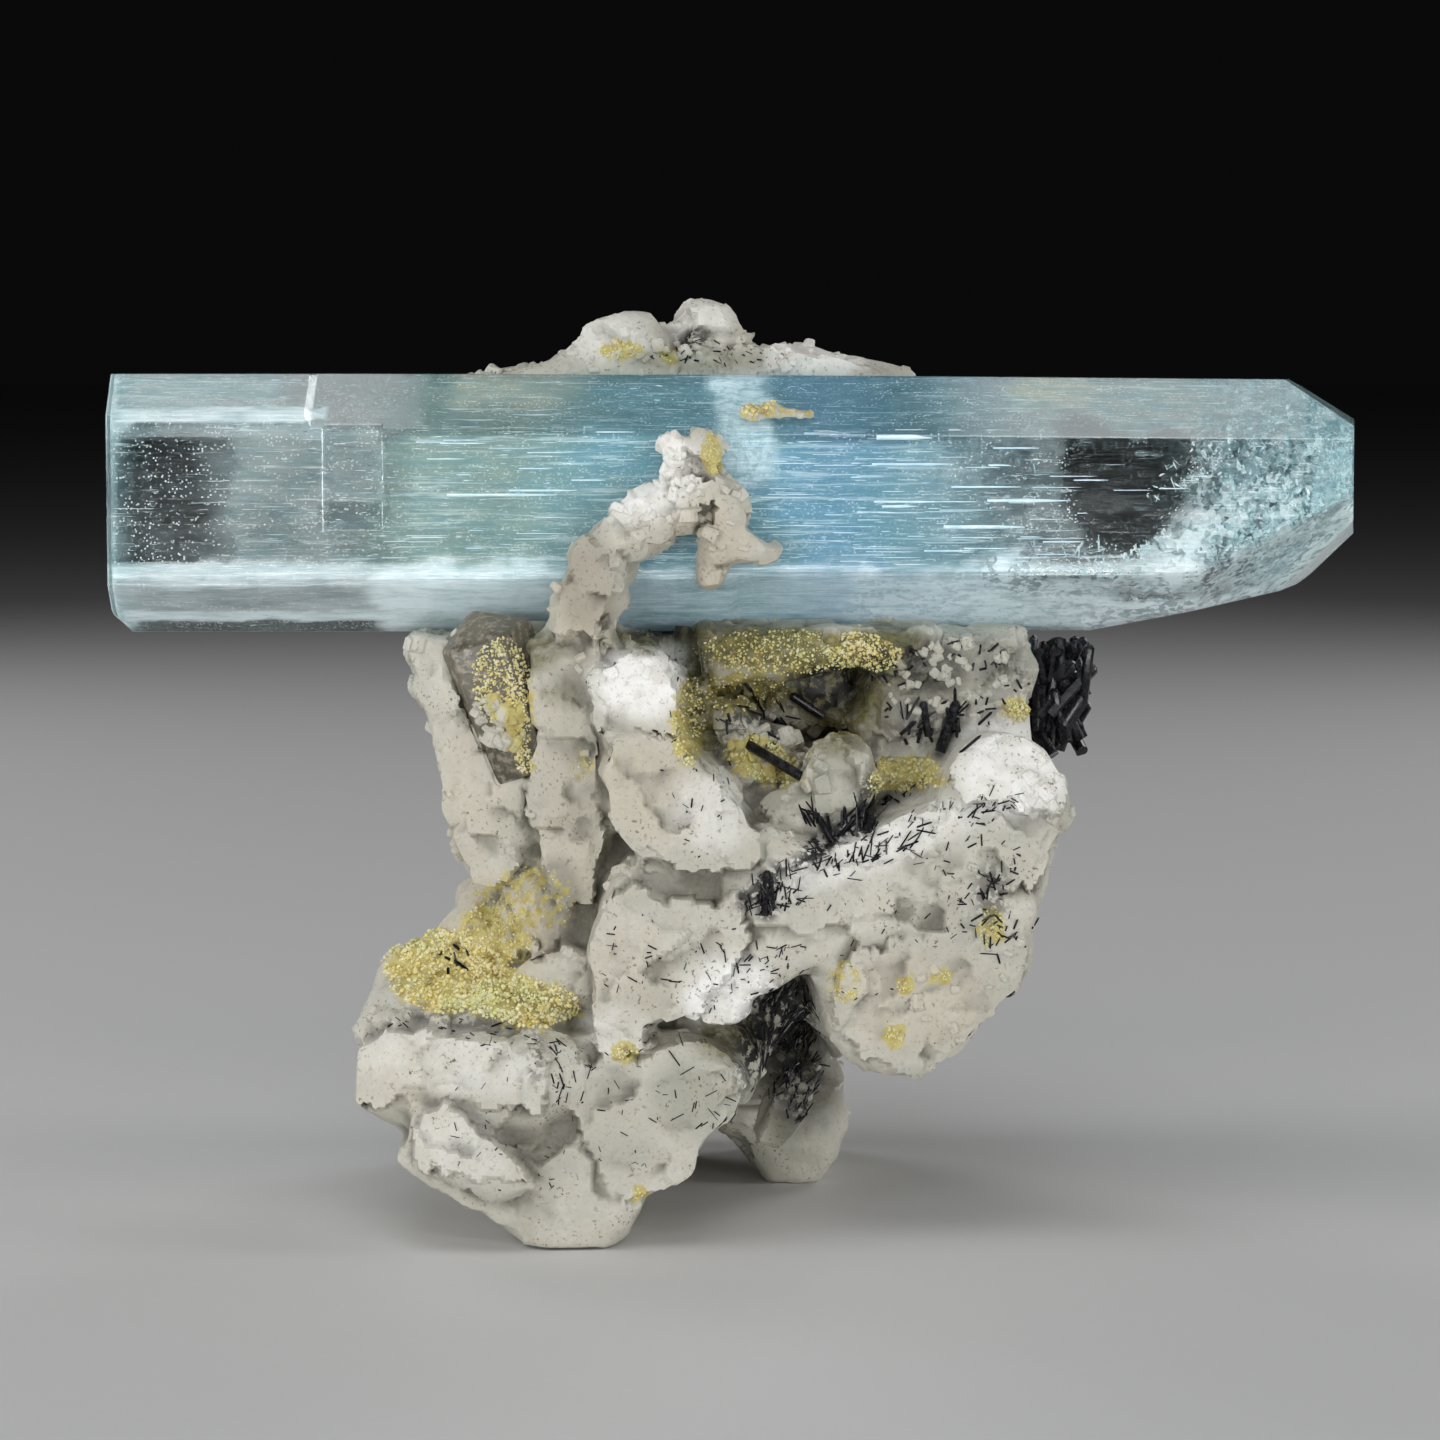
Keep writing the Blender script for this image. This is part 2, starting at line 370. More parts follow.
SHARDS = (
    Shards(Zone("front", 46.4, 62.6, 5.4, 4.6, 20), 420, 0.25, 0.95, 1.0, 1.2, 1.6),
    Shards(Zone("front", 47.0, 69.0, 7.4, 3.6, 0), 160, 0.2, 0.8, 1.6, 0.6, 1.8),
    Shards(Zone("front", 48.0, 74.0, 6.0, 2.0, 0), 60, 0.2, 0.8, 1.4, 0.6, 1.8),
    Shards(Zone("right", -5.0, 66.0, 8.0, 8.0, 0), 160, 0.3, 1.1, 1.4, 0.6, 1.8),
    Shards(Zone("front", 36.0, 60.0, 7.0, 1.2, 24), 200, 0.2, 0.9, 0.8, 1.6, 2.6),
    Shards(Zone("front", 26.4, 64.4, 3.6, 3.6, 0), 40, 0.12, 0.4, 1.2, 0.2, 6.0),
    Shards(Zone("front", 38.0, 66.6, 2.4, 1.4, 30), 36, 0.12, 0.4, 1.2, 0.2, 6.0),
    Shards(Zone("front", 28.0, 60.4, 5.0, 1.2, 0), 60, 0.12, 0.4, 0.8, 0.3, 6.0),
    Shards(Zone("front", 34.0, 55.8, 13.0, 1.6, 8), 200, 0.2, 0.9, 0.8, 1.2, 4.0),
    Shards(Zone("front", -15.6, 66.2, 3.0, 1.4, 20), 40, 0.2, 0.6, 0.8, 0.6, 3.0),
)


# How cloudy the aquamarine is just under each face, along X in millimetres: (x, cloudiness from 0 to 1).
CLOUD_FRONT = ((-55.5, 0.80), (-53.8, 0.80), (-53.0, 0.16), (-44.5, 0.20), (-41.0, 0.56), (-36.0, 0.62), (-31.0, 0.60),
               (-28.0, 0.76), (-12.0, 0.84), (0.0, 0.92), (12.0, 0.84), (19.0, 0.70), (25.0, 0.50), (29.0, 0.30),
               (38.5, 0.24), (42.0, 0.74), (56.0, 0.84))
CLOUD_UPPER = ((-55.5, 0.74), (-38.0, 0.74), (-33.0, 0.52), (-27.0, 0.50), (-18.0, 0.62), (0.0, 0.64), (10.0, 0.56),
               (14.0, 0.46), (23.0, 0.42), (27.0, 0.68), (37.0, 0.72), (56.0, 0.74))
CLOUD_LOWER = ((-55.5, 0.42), (-32.0, 0.38), (-28.0, 0.78), (14.0, 0.82), (21.0, 0.66), (30.0, 0.56), (33.0, 0.34),
               (40.0, 0.36), (44.0, 0.78), (56.0, 0.84))
CLOUD_BACK = ((-55.5, 0.50), (-53.0, 0.14), (-36.0, 0.22), (-27.0, 0.75), (14.0, 0.85), (21.0, 0.62), (28.0, 0.22),
              (40.0, 0.20), (44.0, 0.60), (56.0, 0.70))


class Film(NamedTuple):
    """A patch of the cloudy zone: outline in X and Z, how cloudy, white, crazed and warm, and how far it fades."""
    outline: tuple
    cloudy: float
    white: float
    crazed: float
    warm: float
    soft: float


FILMS = (
    # left rim
    Film(((-55.4, 76.1), (-53.4, 76.1), (-53.2, 67.7), (-53.4, 54.0), (-55.4, 54.0)), 0.88, 0.45, 0.00, 0.00, 0.5),
    # left slope
    Film(((-54.7, 76.1), (-38.9, 76.1), (-38.2, 72.6), (-54.2, 72.6)), 0.80, 0.12, 0.00, 0.00, 0.3),
    # slope shadow
    Film(((-38.9, 76.1), (-25.5, 76.1), (-29.5, 72.4), (-38.2, 72.6)), 0.42, 0.00, 0.00, 0.00, 2.60),
    # slope cream
    Film(((-24.2, 76.1), (-14.2, 76.1), (-17.2, 73.7), (-24.7, 74.0)), 0.70, 0.05, 0.00, 0.60, 3.00),
    # left window
    Film(((-53.2, 71.0), (-43.5, 71.4), (-42.4, 67.7), (-43.0, 63.3), (-43.8, 59.6),
           (-53.2, 59.8)), 0.46, 0.40, 0.20, 0.00, 2.60),
    # window core
    Film(((-53.0, 69.4), (-48.7, 69.9), (-47.9, 61.6), (-49.2, 59.8), (-53.0, 59.8)), 0.34, 0.40, 0.14, 0.00, 3.00),
    # left veil
    Film(((-43.1, 71.2), (-36.3, 71.7), (-36.0, 58.5), (-43.7, 58.5)), 0.66, 0.12, 0.00, 0.06, 1.6),
    # top line
    Film(((-54.2, 72.6), (-36.2, 72.6), (-36.2, 71.9), (-54.2, 71.9)), 0.96, 0.70, 0.00, 0.00, 0.12),
    # step
    Film(((-36.2, 71.2), (-31.3, 71.2), (-31.0, 64.4), (-36.2, 64.4)), 0.68, 0.16, 0.00, 0.10, 0.3),
    # step head
    Film(((-35.6, 72.2), (-31.1, 72.2), (-31.1, 71.2), (-35.6, 71.2)), 0.40, 0.00, 0.00, 0.00, 0.3),
    # step foot
    Film(((-36.2, 64.3), (-30.9, 64.3), (-30.9, 63.3), (-36.2, 63.3)), 0.52, 0.00, 0.00, 0.00, 0.70),
    # left strip
    Film(((-55.0, 59.5), (-26.0, 59.5), (-26.0, 57.8), (-55.0, 57.8)), 0.92, 0.50, 0.00, 0.00, 0.25),
    # middle strip
    Film(((-26.0, 59.3), (23.0, 59.3), (23.0, 57.8), (-26.0, 57.8)), 0.90, 0.25, 0.00, 0.00, 0.5),
    # left floor
    Film(((-54.7, 57.6), (-30.8, 57.6), (-31.2, 55.3), (-54.6, 55.3)), 0.66, 0.75, 0.00, 0.00, 0.8),
    # left floor line
    Film(((-54.6, 55.3), (-30.6, 55.3), (-30.8, 54.6), (-54.4, 54.6)), 0.93, 0.80, 0.00, 0.00, 0.25),
    # middle floor
    Film(((-30.5, 57.6), (-8.5, 57.6), (-8.5, 53.9), (-30.5, 53.9)), 1.00, 1.00, 0.00, 0.00, 2.60),
    # blue floor
    Film(((-8.5, 57.6), (10.9, 57.6), (10.9, 53.7), (-8.5, 53.7)), 0.98, 0.55, 0.00, 0.00, 2.0),
    # right floor
    Film(((10.9, 57.9), (34.8, 57.9), (33.9, 55.3), (30.4, 53.9), (10.9, 53.7)), 0.98, 1.00, 0.20, 0.00, 1.4),
    # dark floor
    Film(((34.8, 57.8), (42.7, 57.8), (41.8, 56.0), (34.4, 55.8)), 0.62, 0.40, 0.30, 0.00, 1.60),
    # right bevel
    Film(((31.3, 53.9), (33.9, 55.6), (42.7, 56.3), (49.3, 57.7), (49.3, 56.3)), 0.95, 1.00, 0.50, 0.00, 0.8),
    # wedge
    Film(((22.1, 58.5), (23.0, 59.6), (28.3, 60.9), (32.8, 59.8), (36.1, 62.7), (40.5, 65.1), (43.7, 65.1),
           (43.7, 58.5)), 0.90, 0.75, 0.60, 0.00, 1.80),
    # right window
    Film(((21.7, 70.3), (41.8, 70.6), (41.6, 67.7), (38.8, 64.9), (36.1, 63.1), (33.9, 60.9), (31.8, 59.8),
           (28.1, 61.0), (25.5, 63.1), (23.0, 65.8), (19.3, 67.7)), 0.52, 0.40, 0.35, 0.00, 4.00),
    # right core
    Film(((30.4, 70.4), (37.7, 70.4), (37.4, 66.8), (35.3, 63.1), (32.8, 61.6),
           (30.7, 64.6)), 0.05, 0.10, 0.03, 0.00, 2.60),
    # right core 2
    Film(((37.7, 70.4), (41.7, 70.4), (40.9, 68.4), (37.9, 67.7)), 0.12, 0.20, 0.15, 0.00, 1.0),
    # crazed white
    Film(((41.8, 66.5), (45.9, 67.7), (51.4, 67.0), (51.4, 61.1), (47.9, 58.6),
           (41.8, 58.6)), 0.74, 0.18, 1.00, 0.00, 2.60),
    # crazed teal
    Film(((40.2, 72.3), (54.2, 72.3), (54.2, 62.0), (51.5, 65.1), (48.4, 67.0),
           (41.8, 66.3)), 0.52, 0.00, 1.00, 0.00, 2.20),
    # end top
    Film(((44.0, 76.1), (53.2, 76.1), (54.2, 72.3), (44.4, 72.3)), 0.52, 0.00, 0.80, 0.05, 2.00),
    # slope blot
    Film(((41.6, 74.9), (45.1, 74.9), (44.9, 72.4), (41.2, 72.4)), 0.50, 0.00, 0.60, 0.00, 1.0),
    # slope streaks
    Film(((19.1, 76.1), (30.4, 76.1), (29.1, 72.4), (19.1, 72.4)), 0.50, 0.20, 0.20, 0.00, 3.40),
    # slope glow
    Film(((25.5, 75.8), (33.3, 75.8), (32.8, 73.7), (26.1, 73.7)), 0.82, 0.00, 0.00, 0.55, 3.00),
    # slope grey
    Film(((32.8, 75.9), (41.6, 75.9), (41.2, 72.4), (32.8, 72.4)), 0.78, 0.00, 0.00, 0.05, 2.60),
    # chipped rim
    Film(((49.3, 58.5), (51.4, 62.4), (54.2, 65.1), (54.2, 59.8), (50.1, 56.3)), 0.90, 0.60, 0.70, 0.50, 0.8),
    # white veil
    Film(((-1.3, 75.2), (2.2, 75.2), (2.7, 66.8), (0.1, 66.3), (-1.3, 70.3)), 0.97, 0.50, 0.20, 0.00, 1.4),
)


# ---------------------------------------------------------------- what a user would change

class AlbiteSettings(bpy.types.PropertyGroup):
    """The matrix."""
    skin: FloatProperty(name="Skin", description="Spacing of the matrix's surface points", default=0.00042,
                        min=0.0003, unit="LENGTH", precision=5)
    kept: FloatProperty(name="Kept", description="Share of the surface's faces that are kept", default=0.62,
                        min=0.1, max=1.0)
    flakes: IntProperty(name="Flakes", description="How many thin flakes overlap on the surface", default=1300, min=0)
    ledges: FloatProperty(name="Ledges", description="Height of the flakes' steps", default=0.00034,
                          unit="LENGTH", precision=5)
    sugar: FloatProperty(name="Sugar", description="Height of the sugary grain", default=0.00007,
                         unit="LENGTH", precision=5)
    gap: FloatProperty(name="Gap", description="Room kept between matrix and aquamarine", default=0.00012,
                       unit="LENGTH", precision=5)
    white: FloatVectorProperty(name="White", description="Clean albite", default=(0.64, 0.625, 0.55),
                               subtype="COLOR", min=0, max=1)
    beige: FloatVectorProperty(name="Beige", description="Tinted albite", default=(0.60, 0.53, 0.41),
                               subtype="COLOR", min=0, max=1)
    grey: FloatVectorProperty(name="Grey", description="Glassy grey albite", default=(0.40, 0.40, 0.335),
                              subtype="COLOR", min=0, max=1)
    hollow: FloatVectorProperty(name="Hollows", description="Albite deep in the hollows", default=(0.07, 0.066, 0.045),
                                subtype="COLOR", min=0, max=1)


class AquamarineSettings(bpy.types.PropertyGroup):
    """The clear prism."""
    edge: FloatProperty(name="Edge", description="Width of the worn edges", default=0.00016, unit="LENGTH",
                        precision=5)
    ior: FloatProperty(name="IOR", description="Refractive index of beryl", default=1.577, min=1, max=2)
    clear: FloatVectorProperty(name="Clear", description="Colour near the ends", default=(0.97, 0.99, 0.99),
                               subtype="COLOR", min=0, max=1)
    blue: FloatVectorProperty(name="Blue", description="Colour of the middle", default=(0.88, 0.96, 0.98),
                              subtype="COLOR", min=0, max=1)
    violet: FloatVectorProperty(name="Violet blue", description="Colour of the deep band",
                                default=(0.85, 0.92, 0.98), subtype="COLOR", min=0, max=1)
    teal: FloatVectorProperty(name="Teal", description="Colour of the end faces", default=(0.86, 0.97, 0.97),
                              subtype="COLOR", min=0, max=1)
    haze_grey: FloatVectorProperty(name="Grey haze", description="Cloudy zone near the ends",
                                   default=(0.38, 0.43, 0.42), subtype="COLOR", min=0, max=1)
    haze_blue: FloatVectorProperty(name="Blue haze", description="Cloudy zone in the middle",
                                   default=(0.21, 0.37, 0.42), subtype="COLOR", min=0, max=1)
    haze_green: FloatVectorProperty(name="Green haze", description="Cloudy zone left of the middle",
                                    default=(0.34, 0.42, 0.37), subtype="COLOR", min=0, max=1)
    haze_violet: FloatVectorProperty(name="Violet haze", description="Cloudy zone in the deep band",
                                     default=(0.20, 0.36, 0.47), subtype="COLOR", min=0, max=1)
    haze_teal: FloatVectorProperty(name="Teal haze", description="Cloudy zone at the ends",
                                   default=(0.20, 0.35, 0.37), subtype="COLOR", min=0, max=1)
    inset: FloatProperty(name="Inset", description="Depth of the cloudy zone under the faces", default=0.0007,
                         unit="LENGTH", precision=5)
    depth: FloatProperty(name="Depth", description="Density of the absorption", default=6.0, min=0)
    tubes: IntProperty(name="Tubes", description="How many fine growth tubes run inside", default=300, min=0)


class QuartzSettings(bpy.types.PropertyGroup):
    """The smoky quartz."""
    smoke: FloatVectorProperty(name="Smoke", description="Dark colour", default=(0.085, 0.078, 0.054),
                               subtype="COLOR", min=0, max=1)
    haze: FloatVectorProperty(name="Haze", description="Pale colour", default=(0.155, 0.14, 0.10),
                              subtype="COLOR", min=0, max=1)


class SchorlSettings(bpy.types.PropertyGroup):
    """The black tourmaline."""
    black: FloatVectorProperty(name="Black", description="Colour of the prisms", default=(0.006, 0.006, 0.008),
                               subtype="COLOR", min=0, max=1)
    prisms: IntProperty(name="Prisms", description="How many prisms the cluster holds", default=90, min=1)


class CrustSettings(bpy.types.PropertyGroup):
    """The grainy yellow crust."""
    fill: FloatProperty(name="Fill", description="How thickly the grains are strewn", default=2.1, min=0.1)
    yellow: FloatVectorProperty(name="Yellow", description="Main colour", default=(0.80, 0.65, 0.22),
                                subtype="COLOR", min=0, max=1)
    green: FloatVectorProperty(name="Green", description="Greenish grains", default=(0.68, 0.68, 0.28),
                               subtype="COLOR", min=0, max=1)
    pale: FloatVectorProperty(name="Pale", description="Pale grains", default=(0.93, 0.88, 0.62),
                              subtype="COLOR", min=0, max=1)


class StageSettings(bpy.types.PropertyGroup):
    """The floor, the lights and the camera."""
    floor: FloatVectorProperty(name="Floor", description="Colour of the floor", default=(0.72, 0.72, 0.72),
                               subtype="COLOR", min=0, max=1)
    lens: FloatProperty(name="Lens", description="Focal length in millimetres", default=111.1, min=1)
    distance: FloatProperty(name="Distance", description="Camera to the prism's middle", default=0.400,
                            unit="LENGTH")
    height: FloatProperty(name="Height", description="Camera above the floor", default=0.080, unit="LENGTH")
    tilt: FloatProperty(name="Tilt", description="Downward tilt", default=math.radians(5.032),
                        subtype="ANGLE")


class SpecimenSettings(bpy.types.PropertyGroup):
    """All of the above."""
    albite: PointerProperty(type=AlbiteSettings)
    aquamarine: PointerProperty(type=AquamarineSettings)
    quartz: PointerProperty(type=QuartzSettings)
    schorl: PointerProperty(type=SchorlSettings)
    crust: PointerProperty(type=CrustSettings)
    stage: PointerProperty(type=StageSettings)


# ---------------------------------------------------------------- shared effects

def new_group(name, inputs, outputs):
    """An empty shader node group with these sockets, as (group, input node, output node)."""
    group = bpy.data.node_groups.new(name, "ShaderNodeTree")
    for label, kind, value in inputs:
        socket = group.interface.new_socket(label, in_out="INPUT", socket_type=kind)
        if value is not None:
            socket.default_value = value
    for label, kind in outputs:
        group.interface.new_socket(label, in_out="OUTPUT", socket_type=kind)
    return group, group.nodes.new("NodeGroupInput"), group.nodes.new("NodeGroupOutput")


def node(tree, kind, values=None, **settings):
    """Adds a shader node; values go to its inputs, and a socket given as a value is linked."""
    made = tree.nodes.new("ShaderNode" + kind)
    for key, value in settings.items():
        setattr(made, key, value)
    for key, value in (values or {}).items():
        if isinstance(value, bpy.types.NodeSocket):
            tree.links.new(value, made.inputs[key])
        else:
            made.inputs[key].default_value = value
    return made


def blend(tree, factor, first, second):
    """The colour between two colours."""
    mixer = node(tree, "Mix", data_type="RGBA")
    for socket, value in ((mixer.inputs["Factor"], factor), (mixer.inputs[6], first), (mixer.inputs[7], second)):
        if isinstance(value, bpy.types.NodeSocket):
            tree.links.new(value, socket)
        elif socket.type == "RGBA":
            socket.default_value = (*value[:3], 1.0)
        else:
            socket.default_value = value
    return mixer.outputs[2]


def spread(tree, value, low, high, to_low=0.0, to_high=1.0):
    """A value stretched from one range to another, and clamped."""
    return node(tree, "MapRange", {"Value": value, "From Min": low, "From Max": high, "To Min": to_low,
                                   "To Max": to_high}).outputs["Result"]


def maths(tree, operation, first, second=0.0):
    """One arithmetic node."""
    return node(tree, "Math", {0: first, 1: second}, operation=operation).outputs[0]


def cloud_group():
    """Soft cloudy mask: a noise stretched between two levels."""
    group, given, result = new_group("Cloud", (
        ("Vector", "NodeSocketVector", None), ("Scale", "NodeSocketFloat", 300.0), ("Detail", "NodeSocketFloat", 4.0),
        ("Low", "NodeSocketFloat", 0.4), ("High", "NodeSocketFloat", 0.65)), (("Mask", "NodeSocketFloat"),))
    puffs = node(group, "TexNoise", {"Vector": given.outputs["Vector"], "Scale": given.outputs["Scale"],
                                     "Detail": given.outputs["Detail"], "Roughness": 0.6})
    mask = node(group, "MapRange", {"Value": puffs.outputs["Fac"], "From Min": given.outputs["Low"],
                                    "From Max": given.outputs["High"]})
    group.links.new(mask.outputs["Result"], result.inputs["Mask"])
    return group


def sugar_group():
    """Height of a sugary, pitted mineral surface."""
    group, given, result = new_group("Sugar", (
        ("Vector", "NodeSocketVector", None), ("Scale", "NodeSocketFloat", 1800.0)),
        (("Height", "NodeSocketFloat"),))
    fine = node(group, "TexVoronoi", {"Vector": given.outputs["Vector"], "Scale": given.outputs["Scale"]},
                feature="F1")
    coarse_scale = maths(group, "MULTIPLY", given.outputs["Scale"], 0.28)
    coarse = node(group, "TexNoise", {"Vector": given.outputs["Vector"], "Scale": coarse_scale, "Detail": 6.0,
                                      "Roughness": 0.65})
    pits = spread(group, coarse.outputs["Fac"], 0.36, 0.46, 1.0, 0.0)
    height = maths(group, "ADD", maths(group, "MULTIPLY", fine.outputs["Distance"], -0.5), coarse.outputs["Fac"])
    height = maths(group, "SUBTRACT", height, maths(group, "MULTIPLY", pits, 0.35))
    group.links.new(height, result.inputs["Height"])
    return group


def striation_group():
    """Height of fine growth lines that run along one axis."""
    group, given, result = new_group("Striation", (
        ("Vector", "NodeSocketVector", None), ("Stretch", "NodeSocketVector", (60.0, 2400.0, 2400.0)),
        ("Detail", "NodeSocketFloat", 5.0)), (("Height", "NodeSocketFloat"),))
    across = node(group, "VectorMath", {0: given.outputs["Vector"], 1: given.outputs["Stretch"]},
                  operation="MULTIPLY")
    lines = node(group, "TexNoise", {"Vector": across.outputs["Vector"], "Scale": 1.0,
                                     "Detail": given.outputs["Detail"], "Roughness": 0.62})
    group.links.new(lines.outputs["Fac"], result.inputs["Height"])
    return group


def crackle_group():
    """A shade for each fragment of a fractured crystal, and a mask of the cracks between them."""
    group, given, result = new_group("Crackle", (
        ("Vector", "NodeSocketVector", None), ("Scale", "NodeSocketFloat", 900.0)),
        (("Shade", "NodeSocketFloat"), ("Cracks", "NodeSocketFloat")))
    drift = node(group, "TexNoise", {"Vector": given.outputs["Vector"],
                                     "Scale": maths(group, "MULTIPLY", given.outputs["Scale"], 0.7), "Detail": 3.0})
    pushed = node(group, "VectorMath", {0: drift.outputs["Color"], 1: (0.0007, 0.0007, 0.0007)}, operation="MULTIPLY")
    place = node(group, "VectorMath", {0: given.outputs["Vector"], 1: pushed.outputs["Vector"]}, operation="ADD")
    cells = node(group, "TexVoronoi", {"Vector": place.outputs["Vector"], "Scale": given.outputs["Scale"]},
                 feature="F1")
    shade = node(group, "SeparateXYZ", {0: cells.outputs["Color"]}).outputs["X"]
    edges = node(group, "TexVoronoi", {"Vector": place.outputs["Vector"], "Scale": given.outputs["Scale"]},
                 feature="DISTANCE_TO_EDGE")
    group.links.new(shade, result.inputs["Shade"])
    group.links.new(spread(group, edges.outputs["Distance"], 0.01, 0.06, 1.0, 0.0), result.inputs["Cracks"])
    return group


def effect(tree, group, values, output):
    """Places a shared effect with its own values."""
    return node(tree, "Group", values, node_tree=bpy.data.node_groups[group]).outputs[output]


def cloud(tree, place, scale, low, high):
    """The mask of a soft cloud."""
    return effect(tree, "Cloud", {"Vector": place, "Scale": scale, "Low": low, "High": high}, "Mask")


def growth_lines(tree, place, stretch, detail=5.0):
    """The height of fine growth lines, by how closely they lie along each axis."""
    return effect(tree, "Striation", {"Vector": place, "Stretch": stretch, "Detail": detail}, "Height")


def stored(tree, name):
    """A value that the mesh stores for each point."""
    return node(tree, "Attribute", attribute_name=name).outputs["Fac"]


def times(tree, first, second):
    """The product of two values."""
    return maths(tree, "MULTIPLY", first, second)


def ramp_of(tree, factor, stops):
    """A colour from a ramp; stops lists (position, colour)."""
    ramp = node(tree, "ValToRGB", {"Fac": factor})
    elements = ramp.color_ramp.elements
    while len(elements) < len(stops):
        elements.new(0.5)
    for element, (position, colour) in zip(elements, stops):
        element.position = position
        element.color = (*colour, 1.0)
    return ramp.outputs["Color"]


def new_material(name, **values):
    """A material with a plain Principled shader, as (material, node tree, shader, object coordinates)."""
    material = bpy.data.materials.new(name)
    material.use_nodes = True
    tree = material.node_tree
    shader = tree.nodes["Principled BSDF"]
    for key, value in values.items():
        socket = shader.inputs[key.replace("_", " ")]
        socket.default_value = (*value, 1.0) if socket.type == "RGBA" and len(value) == 3 else value
    place = node(tree, "TexCoord").outputs["Object"]
    return material, tree, shader, place


def bump(tree, shader, heights):
    """Stacks bumps on a shader; heights lists (height, distance in metres, strength)."""
    normal = None
    for height, distance, strength in heights:
        values = {"Height": height, "Distance": distance, "Strength": strength}
        if normal is not None:
            values["Normal"] = normal
        normal = node(tree, "Bump", values).outputs["Normal"]
    tree.links.new(normal, shader.inputs["Normal"])


def albite_material(settings):
    """White to grey feldspar, glassy in places, stained where the crust grows and sooty between the needles."""
    material, tree, shader, place = new_material(
        "albite_sugary", Roughness=0.5, IOR=1.53, Subsurface_Weight=0.18, Subsurface_Radius=(1.0, 0.92, 0.80),
        Subsurface_Scale=0.0006, Specular_IOR_Level=0.45)

    broad = cloud(tree, place, 150.0, 0.40, 0.64)
    middling = cloud(tree, place, 520.0, 0.44, 0.66)
    fine = cloud(tree, place, 2300.0, 0.30, 0.70)
    dust = cloud(tree, place, 2800.0, 0.585, 0.64)
    patches = cloud(tree, place, 260.0, 0.48, 0.62)
    glass = maths(tree, "MAXIMUM", stored(tree, "glassy"), times(tree, broad, 0.55))
    colour = blend(tree, glass, settings.white, settings.grey)
    colour = blend(tree, times(tree, middling, 0.25), colour, settings.beige)
    colour = blend(tree, stored(tree, "beige"), colour, settings.beige)
    milky = times(tree, stored(tree, "milky"), spread(tree, middling, 0.0, 1.0, 0.95, 0.50))
    deep = stored(tree, "hollow")
    colour = blend(tree, spread(tree, deep, 0.02, 0.75, 0.0, 0.92), colour, settings.hollow)
    colour = blend(tree, spread(tree, deep, -0.15, -0.8, 0.0, 0.6), colour, (0.88, 0.875, 0.85))
    colour = blend(tree, times(tree, fine, 0.28), colour, (0.40, 0.375, 0.31))
    colour = blend(tree, milky, colour, (0.95, 0.94, 0.91))
    specks = times(tree, dust, spread(tree, patches, 0.0, 1.0, 0.25, 0.95))
    colour = blend(tree, specks, colour, (0.16, 0.13, 0.09))
    stain = stored(tree, "stain")
    speckle = cloud(tree, place, 900.0, 0.38, 0.58)
    ragged = cloud(tree, place, 1100.0, 0.30, 0.70)
    amount = spread(tree, maths(tree, "SUBTRACT", stain, ragged), -0.05, 0.25, 0.0, 0.92)
    ochre = blend(tree, speckle, (0.48, 0.38, 0.095), (0.60, 0.53, 0.19))
    colour = blend(tree, amount, colour, ochre)
    moss = times(tree, stored(tree, "olive"), spread(tree, speckle, 0.0, 1.0, 0.55, 1.0))
    dark = blend(tree, fine, (0.045, 0.043, 0.015), (0.20, 0.18, 0.055))
    colour = blend(tree, moss, colour, dark)
    streaks = cloud(tree, place, 1200.0, 0.43, 0.50)
    colour = blend(tree, times(tree, stored(tree, "soot"), streaks), colour, (0.012, 0.012, 0.013))
    tree.links.new(colour, shader.inputs["Base Color"])
    tree.links.new(spread(tree, glass, 0.0, 1.0, 0.60, 0.30), shader.inputs["Roughness"])
    bump(tree, shader, (
        (effect(tree, "Crackle", {"Vector": place, "Scale": 800.0}, "Shade"), 0.00009, 0.5),
        (effect(tree, "Sugar", {"Vector": place, "Scale": 1500.0}, "Height"), 0.00007, 0.7),
        (effect(tree, "Sugar", {"Vector": place, "Scale": 4200.0}, "Height"), 0.00003, 0.6)))
    return material


